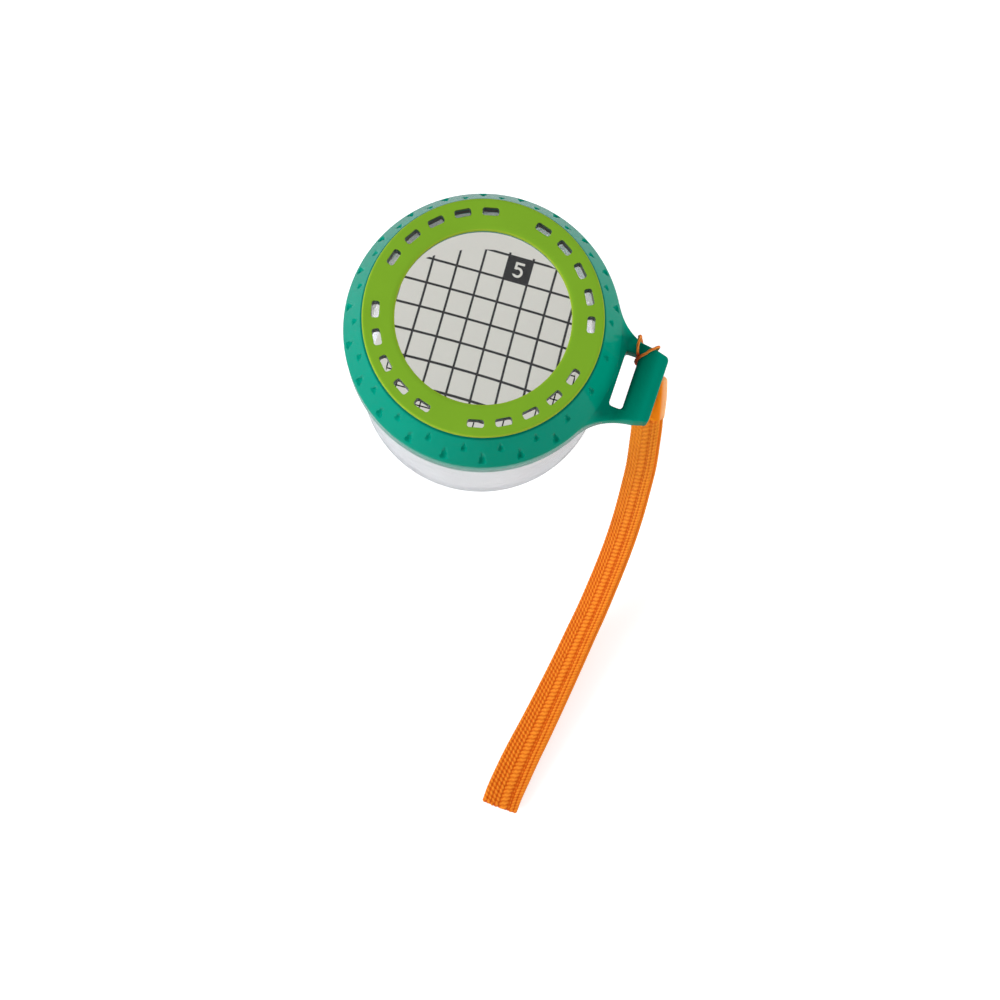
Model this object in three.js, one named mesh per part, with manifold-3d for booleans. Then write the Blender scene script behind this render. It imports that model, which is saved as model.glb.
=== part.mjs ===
// Bug viewer: a clear jar with a measuring grid, a vented screw lid with a magnifier, and a wrist strap.
// Millimetres, +Z up along the jar's axis, +X towards the lid's strap lug, origin under the jar's floor.
import * as THREE from "three";
import { mergeVertices } from "three/addons/utils/BufferGeometryUtils.js";
import Module from "manifold-3d";

const wasm = await Module();
wasm.setup();

// Jar
const jarRadius = 42.3;
const jarWall = 1.8;
const jarFloor = 2.0;
const jarHeelRound = 1.2;
const shoulderHeight = 68.7;
const shoulderRound = 0.6;
const neckInset = 4.7;
const neckWall = 1.6;
const neckHeight = 18.3;
const neckLipRound = 0.4;

// Measuring grid card
const gridThickness = 0.3;
const gridMargin = 1.7;

// Screw thread
const threadStarts = 3;
const threadLead = 15;
const threadHeight = 1.0;
const threadArc = 130;
const threadRise = 8.8;
const maleRootWidth = 2.4;
const femaleRootWidth = 1.8;
const threadFlank = 0.7;
const threadRadialGap = 0.5;
const threadEmbed = 0.6;

// Lid
const bandClearance = 0.5;
const bandWall = 2.0;
const bandHeight = 11.0;
const skirtOverlap = 2.2;
const coneHeight = 17.4;
const coneInset = 6.4;
const coneWall = 2.1;
const lidTopLip = 0.4;
const lidEdgeRound = 0.6;
const sleeveWall = 1.7;
const lidPlate = 2.0;
const ledgeWidth = 2.5;
const ledgeThickness = 1.5;
const ledgeBossWall = 2.0;

// Vent ring and its slots and pegs
const ringWidth = 10.2;
const ringThickness = 1.8;
const ringOuterRound = 1.2;
const ringInnerRound = 0.6;
const ventOffset = 0.9;
const ventLength = 5.2;
const ventWidth = 2.6;
const ventCorner = 1.0;
const ventPositions = 24;
const ventGroups = 4;
const pegRadius = 1.3;
const pegLength = 3.4;

// Magnifier lens
const lensCurve = 196;
const lensLip = 1.7;
const lensEdge = 1.9;
const lensDomeInset = 0.3;

// Grip dimples on the lid's cone, two staggered rows
const dimplesPerRow = 22;
const dimplePhase = -5.7;
const dimpleRows = [
  { shift: 0.5, start: 2.3, length: 6.2, depth: 0.7, halfWidth: 1.3, lugGap: 0 },
  { shift: 0, start: 7.6, length: 8.5, depth: 0.8, halfWidth: 1.55, lugGap: 26 },
];

// Strap lug on the lid
const slotSetback = 1.1;
const slotWidth = 4.6;
const slotLength = 18.4;
const slotCorner = 1.0;
const barWidth = 9.3;
const barCorner = 1.8;
const armWidth = 2.2;
const armSpread = 0.6;
const flareAngle = 28;
const flareSpread = 1.8;
const flareSetback = 1.5;
const lugFootRound = 0.9;
const lugTrim = 0.1;

// Top line of the lug from the bar's back edge over its ridge and the valley to the lid's band:
// distance outward from the slot's outer side, height over the lid's lower edge
const lugTopLine = [[7.9, 8.5], [5.3, 9.7], [2.0, 8.0], [-0.7, 6.1], [-3.5, 7.3], [-6.1, 10.4]];
const lugEdgeHeight = 5.0;

// Cord, ferrule and strap
const cordRadius = 0.45;
const strapWidth = 12.6;
const strapLayer = 1.2;
const strapLayerGap = 0.4;
const strapDrop = 15.2;
const strapTilt = 48;
const strapUntwist = 4;
const ferruleWidth = 12.8;
const ferruleDepth = 6.0;
const ferruleLength = 14.6;
const ferruleCorner = 2.4;
const ferruleBevel = 1.0;

// Clearances
const seatGap = 0.3;
const pegGap = 0.3;
const lensPocketGap = 0.3;

// Facets
const turnSegments = 72;
const cornerSegments = 2;
const lensSegments = 6;
const flareSegments = 6;
const dimpleSides = 8;
const dimpleArcs = 4;
const lugSegments = 3;
const pinSides = 16;
const cordSteps = 72;
const cordArcs = 4;
const strapSteps = 34;
const foldSteps = 6;
const ferruleBevelSteps = 3;
const overcut = 1;

// Fitted sizes
const neckRadius = jarRadius - neckInset;
const neckTop = shoulderHeight + neckHeight;
const bandInner = jarRadius + bandClearance;
const bandRadius = bandInner + bandWall;
const bandBottom = shoulderHeight - skirtOverlap;
const bandTop = bandBottom + bandHeight;
const lidTop = bandTop + coneHeight;
const lidTopRadius = bandRadius - coneInset;
const ringRadius = lidTopRadius - lidTopLip;
const windowRadius = ringRadius - ringWidth;
const sleeveBore = neckRadius + threadHeight + threadRadialGap;
const sleeveRadius = sleeveBore + sleeveWall;
const sleeveBottom = shoulderHeight + seatGap;
const ringBottom = lidTop + seatGap;
const ringTop = ringBottom + ringThickness;
const ventRadius = (windowRadius + ringRadius) / 2 + ventOffset;
const lensRadius = windowRadius + lensLip;
const lensTop = ringBottom - seatGap;
const lensBottom = lensTop - lensEdge;
const lensPocket = lensRadius + lensPocketGap;
const ledgeTop = lensBottom - seatGap;
const ledgeBore = lensPocket - ledgeWidth;
const lensDomeRadius = Math.min(ledgeBore, windowRadius) - lensDomeInset;
const threadPitch = threadLead / threadStarts;
const slotInner = bandRadius + slotSetback;
const slotOuter = slotInner + slotWidth;
const lugReach = slotOuter + barWidth;
const barHalf = slotLength / 2 + armWidth;

// Route of the strap's middle line, from the ferrule down to the table and along it to the fold:
// offset outward and sideways from the corner of slot and arm, then height over the table
const strapRoute = [
  [9.1, -15.9, 51.3], [10.0, -19.0, 49.4], [11.0, -23.2, 46.9], [12.6, -30.8, 41.7], [13.5, -38.2, 36.2],
  [14.2, -45.9, 30.6], [14.5, -53.8, 25.3], [14.4, -62.0, 20.4], [14.0, -70.4, 16.0], [13.4, -79.1, 12.3],
  [12.5, -87.9, 9.6], [11.6, -96.9, 7.8], [10.6, -105.9, 6.7], [9.5, -115.0, 5.7], [8.3, -124.2, 4.9],
  [7.0, -133.3, 4.1], [6.0, -142.3, 3.2], [5.5, -147.9, 2.6], [5.4, -151.4, 2.1],
];

// Route of the thin cord, a hitch round the lug's arm: from the ferrule up the arm's outer side, over it
// and down the slot, round both rising strands as a bight below, and back the same way beside itself;
// offset outward and sideways from the corner of slot and arm, then height over the lid's lower edge
const cordRoute = [
  [4.7, -3.0, -8.1], [4.4, -1.9, -7.4], [3.4, 0.0, -5.7], [1.5, 1.9, -3.5], [-0.5, 3.4, -0.7],
  [-1.7, 4.2, 2.3], [-2.0, 4.3, 5.3], [-2.0, 3.5, 7.7], [-1.9, 1.8, 8.5], [-1.7, -0.4, 8.5],
  [-1.4, -2.0, 8.0], [-1.0, -2.8, 5.9], [-0.9, -2.9, 2.7], [-0.8, -2.9, -0.3], [-0.8, -1.8, -2.1],
  [-0.5, -0.2, -4.1], [0.7, 1.2, -5.8], [2.7, 1.8, -6.5], [4.9, 1.8, -6.5], [7.1, 1.2, -5.7],
  [8.1, -0.2, -4.3], [7.7, -1.8, -2.7], [5.7, -2.9, -1.7], [2.9, -3.7, -1.6], [0.0, -4.1, -1.6],
  [-0.9, -4.1, -0.1], [-0.9, -4.1, 2.7], [-0.9, -4.1, 5.7], [-0.4, -3.5, 7.8], [1.0, -1.7, 9.0],
  [2.8, 0.4, 9.9], [4.5, 2.0, 9.4], [4.9, 2.7, 6.5], [4.8, 2.9, 3.0], [4.6, 2.6, -0.5],
  [4.9, 1.5, -3.1], [5.6, -0.4, -4.9], [6.0, -2.4, -6.2], [6.3, -3.5, -6.8],
];

// Turn a closed geometry into a solid for joining and cutting
function solidOf(geometry) {
  const plain = geometry.clone();
  plain.deleteAttribute("normal");
  plain.deleteAttribute("uv");
  const merged = mergeVertices(plain, 1e-4);
  const vertProperties = new Float32Array(merged.attributes.position.array);
  const triVerts = new Uint32Array(merged.index.array);
  return new wasm.Manifold(new wasm.Mesh({ numProp: 3, vertProperties, triVerts }));
}

// Turn a solid back into a geometry
function geometryOf(solid) {
  const mesh = solid.getMesh();
  const geometry = new THREE.BufferGeometry();
  geometry.setAttribute("position", new THREE.BufferAttribute(new Float32Array(mesh.vertProperties), 3));
  geometry.setIndex(new THREE.BufferAttribute(new Uint32Array(mesh.triVerts), 1));
  geometry.computeVertexNormals();
  return geometry;
}

// Turn a profile of [radius, height] points about the jar's axis
function turned(profile, segments = turnSegments) {
  const points = profile.map(([radius, height]) => new THREE.Vector2(radius, height));
  const geometry = new THREE.LatheGeometry(points, segments);
  geometry.rotateX(Math.PI / 2);
  return geometry;
}

// Points of an arc in a profile, in degrees
function arc(centreRadius, centreHeight, radius, from, to, steps = cornerSegments) {
  const points = [];
  for (let step = 0; step <= steps; step += 1) {
    const angle = THREE.MathUtils.degToRad(from + ((to - from) * step) / steps);
    points.push([centreRadius + radius * Math.cos(angle), centreHeight + radius * Math.sin(angle)]);
  }
  return points;
}

// Upright prism of a plan shape between two heights
function prism(shape, bottom, top, curveSegments) {
  const geometry = new THREE.ExtrudeGeometry(shape, { depth: top - bottom, bevelEnabled: false, curveSegments });
  geometry.translate(0, 0, bottom);
  return geometry;
}

// Rectangle with round corners, centred on a point
function roundedRectangle(centreX, centreY, sizeX, sizeY, radius) {
  const left = centreX - sizeX / 2;
  const right = centreX + sizeX / 2;
  const low = centreY - sizeY / 2;
  const high = centreY + sizeY / 2;
  const shape = new THREE.Shape();
  shape.absarc(right - radius, low + radius, radius, -Math.PI / 2, 0);
  shape.absarc(right - radius, high - radius, radius, 0, Math.PI / 2);
  shape.absarc(left + radius, high - radius, radius, Math.PI / 2, Math.PI);
  shape.absarc(left + radius, low + radius, radius, Math.PI, 1.5 * Math.PI);
  return shape;
}

// Closed solid through a row of like rings of points, with flat ends
function lofted(rings) {
  const count = rings[0].length;
  const last = (rings.length - 1) * count;
  const index = [];
  for (let ring = 0; ring < rings.length - 1; ring += 1) {
    for (let side = 0; side < count; side += 1) {
      const a = ring * count + side;
      const b = ring * count + ((side + 1) % count);
      index.push(a, b, b + count, a, b + count, a + count);
    }
  }
  for (let side = 1; side < count - 1; side += 1) {
    index.push(0, side + 1, side, last, last + side, last + side + 1);
  }
  const geometry = new THREE.BufferGeometry();
  geometry.setFromPoints(rings.flat());
  geometry.setIndex(index);
  return geometry;
}

// One thread ridge that climbs about the axis, with its crest inside or outside the wall it stands on
function threadRidge(wallRadius, outward, rootWidth, startAngle, startHeight) {
  const root = wallRadius - outward * threadEmbed;
  const crest = wallRadius + outward * threadHeight;
  const embedWidth = rootWidth + (2 * threadFlank * threadEmbed) / threadHeight;
  const crestWidth = rootWidth - 2 * threadFlank;
  const steps = Math.ceil(threadArc / (360 / turnSegments));
  const rings = [];
  for (let step = 0; step <= steps; step += 1) {
    const turn = (threadArc * step) / steps;
    const angle = THREE.MathUtils.degToRad(startAngle + turn);
    const height = startHeight + (threadLead * turn) / 360;
    const at = (radius, rise) =>
      new THREE.Vector3(radius * Math.cos(angle), radius * Math.sin(angle), height + rise);
    const ring = [
      at(root, -embedWidth / 2),
      at(root, embedWidth / 2),
      at(crest, crestWidth / 2),
      at(crest, -crestWidth / 2),
    ];
    rings.push(outward > 0 ? ring : ring.reverse());
  }
  return solidOf(lofted(rings));
}

// All starts of a thread, joined to a wall
function withThread(wall, wallRadius, outward, rootWidth, startHeight) {
  let solid = wall;
  for (let start = 0; start < threadStarts; start += 1) {
    const startAngle = (360 / threadStarts) * start;
    solid = solid.add(threadRidge(wallRadius, outward, rootWidth, startAngle, startHeight));
  }
  return solid;
}

// Jar: floor, wall, shoulder and threaded neck in one moulding
function makeJar() {
  const inside = jarRadius - jarWall;
  const neckInside = neckRadius - neckWall;
  const shoulderUnder = shoulderHeight - jarWall;
  const profile = [
    [0, 0],
    ...arc(jarRadius - jarHeelRound, jarHeelRound, jarHeelRound, -90, 0),
    ...arc(jarRadius - shoulderRound, shoulderHeight - shoulderRound, shoulderRound, 0, 90),
    [neckRadius, shoulderHeight],
    ...arc(neckRadius - neckLipRound, neckTop - neckLipRound, neckLipRound, 0, 90),
    ...arc(neckInside + neckLipRound, neckTop - neckLipRound, neckLipRound, 90, 180),
    [neckInside, shoulderUnder],
    ...arc(inside - shoulderRound, shoulderUnder - shoulderRound, shoulderRound, 90, 0),
    ...arc(inside - jarHeelRound, jarFloor + jarHeelRound, jarHeelRound, 0, -90),
    [0, jarFloor],
  ];
  const startHeight = shoulderHeight + threadRise;
  return geometryOf(withThread(solidOf(turned(profile)), neckRadius, 1, maleRootWidth, startHeight));
}

// Measuring grid: a printed card on the jar's floor
function makeGridCard() {
  const radius = jarRadius - jarWall - gridMargin;
  const bottom = jarFloor + seatGap;
  return turned([[0, bottom], [radius, bottom], [radius, bottom + gridThickness], [0, bottom + gridThickness]]);
}

// Vent positions: evenly spaced, with one in each group left out for a peg
function ventAngles() {
  const angles = [];
  for (let place = 0; place < ventPositions; place += 1) {
    if (place % (ventPositions / ventGroups) !== 0) {
      angles.push((360 / ventPositions) * place);
    }
  }
  return angles;
}

// Cut the vent slots through a solid
function withVents(body, bottom, top) {
  const shape = roundedRectangle(ventRadius, 0, ventWidth, ventLength, ventCorner);
  const slot = solidOf(prism(shape, bottom, top, 1));
  return ventAngles().reduce((solid, angle) => solid.subtract(slot.rotate([0, 0, angle])), body);
}

// Upright round pin at the vent radius
function pinAtVent(radius, bottom, top, angle) {
  const geometry = new THREE.CylinderGeometry(radius, radius, top - bottom, pinSides);
  geometry.rotateX(Math.PI / 2);
  geometry.translate(ventRadius, 0, (top + bottom) / 2);
  return solidOf(geometry).rotate([0, 0, angle]);
}

// Angles of the pegs that hold the ring to the lid
function pegAngles() {
  return Array.from({ length: ventGroups }, (unused, group) => (360 / ventGroups) * group);
}

// Vent ring: round-edged ring with slots and pegs under it
function makeVentRing() {
  const profile = [
    [windowRadius, ringBottom],
    [ringRadius, ringBottom],
    ...arc(ringRadius - ringOuterRound, ringTop - ringOuterRound, ringOuterRound, 0, 90),
    ...arc(windowRadius + ringInnerRound, ringTop - ringInnerRound, ringInnerRound, 90, 180),
    [windowRadius, ringBottom],
  ];
  const pegRoot = ringBottom + ringThickness / 2;
  let ring = withVents(solidOf(turned(profile)), ringBottom - overcut, ringTop + overcut);
  for (const angle of pegAngles()) {
    ring = ring.add(pinAtVent(pegRadius, ringBottom - pegLength, pegRoot, angle));
  }
  return geometryOf(ring);
}

// Magnifier: a lens with two like domes and a flat lip
function makeLens() {
  const half = THREE.MathUtils.radToDeg(Math.asin(lensDomeRadius / lensCurve));
  const drop = lensCurve * Math.cos(THREE.MathUtils.degToRad(half));
  const profile = [
    ...arc(0, lensBottom + drop, lensCurve, -90, -90 + half, lensSegments),
    [lensRadius, lensBottom],
    [lensRadius, lensTop],
    ...arc(0, lensTop - drop, lensCurve, 90 - half, 90, lensSegments),
  ];
  profile[0][0] = 0;
  profile[profile.length - 1][0] = 0;
  return turned(profile);
}

// Plan outline of the strap lug: concave flares from the lid's band out to a cross bar
function lugOutline() {
  const flareRoot = THREE.MathUtils.degToRad(flareAngle);
  const rootX = bandRadius * Math.cos(flareRoot);
  const rootY = bandRadius * Math.sin(flareRoot);
  const flareX = bandRadius - flareSetback;
  const armX = slotOuter + barWidth / 2;
  const shape = new THREE.Shape();
  shape.moveTo(rootX - bandWall, -rootY);
  shape.lineTo(rootX, -rootY);
  shape.quadraticCurveTo(flareX, -barHalf - flareSpread, armX, -barHalf - armSpread);
  shape.lineTo(lugReach - barCorner, -barHalf);
  shape.quadraticCurveTo(lugReach, -barHalf, lugReach, -barHalf + barCorner);
  shape.lineTo(lugReach, barHalf - barCorner);
  shape.quadraticCurveTo(lugReach, barHalf, lugReach - barCorner, barHalf);
  shape.lineTo(armX, barHalf + armSpread);
  shape.quadraticCurveTo(flareX, barHalf + flareSpread, rootX, rootY);
  shape.lineTo(rootX - bandWall, rootY);
  shape.holes.push(roundedRectangle(slotInner + slotWidth / 2, 0, slotWidth, slotLength, slotCorner));
  return shape;
}

// Side outline of the lug: a flat foot, a steep back edge, then the top line in to the band
function lugSide() {
  const inner = bandInner - bandWall;
  const outer = lugReach + lugTrim;
  const rootHeight = bandBottom + lugTopLine[lugTopLine.length - 1][1];
  const shape = new THREE.Shape();
  shape.moveTo(inner, bandBottom);
  shape.lineTo(outer - lugFootRound, bandBottom);
  shape.quadraticCurveTo(outer, bandBottom, outer, bandBottom + lugFootRound);
  shape.lineTo(outer, bandBottom + lugEdgeHeight);
  shape.splineThru(lugTopLine.map(([x, height]) => new THREE.Vector2(slotOuter + x, bandBottom + height)));
  shape.lineTo(inner, rootHeight);
  return shape;
}

// Strap lug, trimmed to the lid's band
function makeLug() {
  const plan = solidOf(prism(lugOutline(), bandBottom, bandTop, flareSegments));
  const span = 4 * barHalf;
  const options = { depth: span, bevelEnabled: false, curveSegments: lugSegments };
  const side = new THREE.ExtrudeGeometry(lugSide(), options);
  side.translate(0, 0, -span / 2);
  side.rotateX(Math.PI / 2);
  const trim = bandInner + bandWall / 2;
  const low = bandBottom - overcut;
  const high = bandTop + overcut;
  const core = turned([[0, low], [trim, low], [trim, high], [0, high]]);
  return plan.intersect(solidOf(side)).subtract(solidOf(core));
}

// Radius of the lid's cone at a height
function coneRadius(height) {
  return bandRadius + ((lidTopRadius - bandRadius) * (height - bandTop)) / coneHeight;
}

// One grip dimple: a teardrop with its point up the slope and its round end below
function dimpleTool(row) {
  const ball = (row.halfWidth ** 2 + row.depth ** 2) / (2 * row.depth);
  const reach = row.length - row.halfWidth;
  const lift = ball - row.depth;
  const axis = Math.hypot(reach, lift);
  const tangent = THREE.MathUtils.radToDeg(Math.asin(ball / axis));
  const profile = [[0, axis], ...arc(0, 0, ball, tangent, -90, dimpleArcs)];
  profile[profile.length - 1][0] = 0;
  const tool = turned(profile.reverse(), dimpleSides);
  tool.rotateY(-Math.atan2(lift, reach));
  const slope = Math.atan2(bandRadius - lidTopRadius, coneHeight);
  const along = row.start + reach;
  const height = lidTop - along * Math.cos(slope);
  tool.translate(lift, 0, 0);
  tool.rotateY(-slope);
  tool.translate(coneRadius(height), 0, height);
  return solidOf(tool);
}

// Cut both rows of dimples, leaving the lower row out beside the lug
function withDimples(body) {
  let solid = body;
  for (const row of dimpleRows) {
    const tool = dimpleTool(row);
    for (let place = 0; place < dimplesPerRow; place += 1) {
      const angle = dimplePhase + (360 / dimplesPerRow) * (place + row.shift);
      const fromLug = Math.abs(((angle + 540) % 360) - 180);
      if (fromLug >= row.lugGap) {
        solid = solid.subtract(tool.rotate([0, 0, angle]));
      }
    }
  }
  return solid;
}

// Lid: conical cap with a straight band, a threaded sleeve inside, the lens seat and the lug
function makeLid() {
  const gapTop = bandTop + (coneHeight * (bandRadius - sleeveRadius - coneWall)) / (bandRadius - lidTopRadius);
  const sleeveTop = bandTop + (coneHeight * (bandRadius - sleeveBore - coneWall)) / (bandRadius - lidTopRadius);
  const plateBottom = lidTop - lidPlate;
  const profile = [
    [lensPocket, lidTop],
    [lensPocket, ledgeTop],
    [ledgeBore, ledgeTop],
    [ledgeBore, ledgeTop - ledgeThickness],
    [lensPocket + ledgeBossWall, ledgeTop - ledgeThickness],
    [lensPocket + ledgeBossWall, plateBottom],
    [coneRadius(plateBottom) - coneWall, plateBottom],
    [sleeveBore, sleeveTop],
    [sleeveBore, sleeveBottom + lidEdgeRound],
    [sleeveBore + lidEdgeRound, sleeveBottom],
    [sleeveRadius, sleeveBottom],
    [sleeveRadius, gapTop - bandWall],
    [sleeveRadius + lidEdgeRound, gapTop - bandWall],
    [bandInner, bandTop - lidEdgeRound],
    [bandInner, bandBottom],
    ...arc(bandRadius - lidEdgeRound, bandBottom + lidEdgeRound, lidEdgeRound, -90, 0),
    [bandRadius, bandTop - lidEdgeRound],
    [coneRadius(bandTop + lidEdgeRound), bandTop + lidEdgeRound],
    [coneRadius(lidTop - lidEdgeRound), lidTop - lidEdgeRound],
    [lidTopRadius - lidEdgeRound, lidTop],
    [lensPocket, lidTop],
  ];
  const startHeight = shoulderHeight + threadRise - threadPitch / 2;
  let lid = withThread(solidOf(turned(profile)), sleeveBore, -1, femaleRootWidth, startHeight);
  lid = lid.add(makeLug());
  lid = withVents(lid, ledgeTop - ledgeThickness - overcut, lidTop + overcut);
  for (const angle of pegAngles()) {
    lid = lid.subtract(pinAtVent(pegRadius + pegGap, plateBottom - overcut, lidTop + overcut, angle));
  }
  return geometryOf(withDimples(lid));
}

// Smooth curve through a route's points, which the lug's arm carries
function routeCurve(route, heightOf) {
  const points = route.map(
    ([out, side, height]) => new THREE.Vector3(slotOuter + out, barHalf + side, heightOf(height)),
  );
  return new THREE.CatmullRomCurve3(points, false, "centripetal");
}

// Middle line of the cord, at heights over the lid's lower edge
function cordCurve() {
  return routeCurve(cordRoute, (height) => bandBottom + height);
}

// Middle line of the strap, whose heights over the table follow its upper end
function strapCurve() {
  const topHeight = strapRoute[0][2];
  return routeCurve(strapRoute, (height) => ((bandBottom - strapDrop) * height) / topHeight);
}

// Thin cord hitched on the lug
function makeCord() {
  const section = new THREE.Shape();
  section.absarc(0, 0, cordRadius, 0, 2 * Math.PI);
  const options = { steps: cordSteps, extrudePath: cordCurve(), curveSegments: cordArcs };
  return new THREE.ExtrudeGeometry(section, options);
}

// Axes of the strap at a share of its route: along, across and off its face
function strapAxes(curve, share) {
  const along = curve.getTangentAt(share);
  const level = new THREE.Vector3(0, 0, 1).cross(along).normalize();
  const face = along.clone().cross(level);
  const tilt = THREE.MathUtils.degToRad(strapTilt) * (1 - share ** strapUntwist);
  const across = level.clone().multiplyScalar(Math.cos(tilt)).addScaledVector(face, Math.sin(tilt));
  return { along, across, off: along.clone().cross(across) };
}

// Flat section of one strap layer: a strip with chamfered edges
function strapRing(centre, across, off) {
  const half = strapWidth / 2;
  const thin = strapLayer / 2;
  const chamfer = strapLayer / 3;
  const corners = [
    [half - chamfer, -thin],
    [half, -thin + chamfer],
    [half, thin - chamfer],
    [half - chamfer, thin],
    [-half + chamfer, thin],
    [-half, thin - chamfer],
    [-half, -thin + chamfer],
    [-half + chamfer, -thin],
  ];
  return corners.map(([x, y]) => centre.clone().addScaledVector(across, x).addScaledVector(off, y));
}

// Wrist strap: a flat strip folded in two, down one layer, round the fold and back up the other
function makeStrap() {
  const curve = strapCurve();
  const lift = (strapLayer + strapLayerGap) / 2;
  const rings = [];
  for (let step = 0; step <= strapSteps; step += 1) {
    const share = step / strapSteps;
    const { across, off } = strapAxes(curve, share);
    rings.push(strapRing(curve.getPointAt(share).addScaledVector(off, -lift), across, off));
  }
  const end = strapAxes(curve, 1);
  for (let step = 1; step < foldSteps; step += 1) {
    const angle = -Math.PI / 2 + (Math.PI * step) / foldSteps;
    const arm = end.along.clone().multiplyScalar(Math.cos(angle)).addScaledVector(end.off, Math.sin(angle));
    rings.push(strapRing(curve.getPointAt(1).addScaledVector(arm, lift), end.across, arm.negate()));
  }
  for (let step = strapSteps; step >= 0; step -= 1) {
    const share = step / strapSteps;
    const { across, off } = strapAxes(curve, share);
    rings.push(strapRing(curve.getPointAt(share).addScaledVector(off, lift), across, off.negate()));
  }
  return lofted(rings);
}

// Ferrule: a round-cornered block that grips the strap's ends and the cord
function makeFerrule() {
  const curve = strapCurve();
  const { along, across, off } = strapAxes(curve, 0);
  const width = ferruleWidth - 2 * ferruleBevel;
  const depth = ferruleDepth - 2 * ferruleBevel;
  const shape = roundedRectangle(0, 0, width, depth, ferruleCorner - ferruleBevel);
  const geometry = new THREE.ExtrudeGeometry(shape, {
    depth: ferruleLength - 2 * ferruleBevel,
    bevelSize: ferruleBevel,
    bevelThickness: ferruleBevel,
    bevelSegments: ferruleBevelSteps,
    curveSegments: cornerSegments,
  });
  geometry.translate(0, 0, ferruleBevel - ferruleLength - seatGap);
  const place = new THREE.Matrix4().makeBasis(across, off, along);
  place.setPosition(curve.getPointAt(0));
  geometry.applyMatrix4(place);
  return geometry;
}

// Materials
const clearPlastic = { color: 0xdcdde0, roughness: 0.12, metalness: 0, transparent: true, opacity: 0.4 };
const lensPlastic = { color: 0xf2f5f5, roughness: 0.03, metalness: 0, transparent: true, opacity: 0.3 };
const gridPrint = { color: 0xc8c8c1, roughness: 0.7, metalness: 0 };
const tealPlastic = { color: 0x098d7c, roughness: 0.35, metalness: 0 };
const greenPlastic = { color: 0x7daa2d, roughness: 0.45, metalness: 0 };
const orangePlastic = { color: 0xeb9750, roughness: 0.35, metalness: 0 };
const orangeBraid = { color: 0xe77c1f, roughness: 0.9, metalness: 0 };
const orangeCord = { color: 0xd9732a, roughness: 0.85, metalness: 0 };

// Assembly
const pieces = [
  ["jar", makeJar(), clearPlastic],
  ["grid_card", makeGridCard(), gridPrint],
  ["lid", makeLid(), tealPlastic],
  ["vent_ring", makeVentRing(), greenPlastic],
  ["magnifier_lens", makeLens(), lensPlastic],
  ["hitch_cord", makeCord(), orangeCord],
  ["cord_ferrule", makeFerrule(), orangePlastic],
  ["wrist_strap", makeStrap(), orangeBraid],
];

const bugViewer = new THREE.Group();
bugViewer.name = "bug_viewer";
for (const [name, geometry, finish] of pieces) {
  const mesh = new THREE.Mesh(geometry, new THREE.MeshStandardMaterial(finish));
  mesh.name = name;
  bugViewer.add(mesh);
}

export default bugViewer;
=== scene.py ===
"""Looks for a bug viewing jar: clear jar, measuring grid, screw lid with vents and lens, wrist strap."""

import math
import bpy
import numpy as np
from bpy.props import FloatProperty, FloatVectorProperty, PointerProperty
from mathutils import Matrix, Vector


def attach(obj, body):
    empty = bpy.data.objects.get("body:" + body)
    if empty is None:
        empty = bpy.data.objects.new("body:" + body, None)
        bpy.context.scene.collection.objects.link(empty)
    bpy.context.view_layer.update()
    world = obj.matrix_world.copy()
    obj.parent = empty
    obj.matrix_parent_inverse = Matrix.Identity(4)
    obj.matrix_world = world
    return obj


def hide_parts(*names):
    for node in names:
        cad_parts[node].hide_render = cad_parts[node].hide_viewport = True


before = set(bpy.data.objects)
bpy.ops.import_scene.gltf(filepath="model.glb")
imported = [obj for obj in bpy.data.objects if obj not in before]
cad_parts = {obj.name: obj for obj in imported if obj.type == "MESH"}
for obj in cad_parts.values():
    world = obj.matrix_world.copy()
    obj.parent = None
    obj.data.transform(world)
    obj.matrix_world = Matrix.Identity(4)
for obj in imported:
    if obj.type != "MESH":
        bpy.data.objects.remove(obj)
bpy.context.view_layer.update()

bl_info = {
    "name": "Bug Viewer Looks",
    "version": (1, 0, 0),
    "blender": (4, 5, 0),
    "location": "View3D > Sidebar > Bug Viewer",
    "description": "Builds the visible pieces and finishes of a bug viewing jar round its solid frame",
    "category": "Add Mesh",
}

MM = 0.001

# Sizes in millimetres, close to those of the solid part
JAR_RADIUS, JAR_WALL, JAR_FLOOR, JAR_HEEL = 42.3, 1.8, 2.0, 1.2
SHOULDER, SHOULDER_ROUND = 68.7, 0.6
NECK_RADIUS, NECK_WALL, NECK_TOP, NECK_LIP = 37.6, 1.6, 87.0, 0.4
THREAD_STARTS, THREAD_LEAD, THREAD_ARC, THREAD_RUN_OUT = 3, 15.0, 130.0, 8.0
THREAD_HEIGHT, THREAD_FLANK = 1.0, 0.7
MALE_WIDTH, MALE_START, FEMALE_WIDTH, FEMALE_START = 2.4, 77.5, 1.8, 75.0
CARD_RADIUS, CARD_BOTTOM, CARD_TOP, PRINT_DEPTH = 38.8, 2.3, 2.6, 0.02
BAND_INNER, BAND_RADIUS, BAND_BOTTOM, BAND_TOP, BAND_ROWS = 42.8, 44.8, 66.5, 77.5, (2.0, 0.9)
LID_TOP, LID_TOP_RADIUS, CONE_WALL, LID_ROUND = 94.9, 38.4, 2.1, 0.6
SLEEVE_BORE, SLEEVE_RADIUS, SLEEVE_BOTTOM = 39.1, 40.8, 69.0
PLATE_BOTTOM, PLATE_EDGE, POCKET_RADIUS = 91.3, 0.15, 29.8
LEDGE_TOP, LEDGE_BORE, LEDGE_BOTTOM, BOSS_RADIUS = 92.7, 27.9, 91.2, 31.8
RING_INNER, RING_OUTER, RING_BOTTOM, RING_TOP = 27.8, 38.0, 95.2, 97.0
RING_ROLL, RING_DROP, RING_OUTER_ROUND, RING_EDGE, RING_VENT_EDGE = 1.8, 0.6, 0.8, 0.5, 0.12
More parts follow.
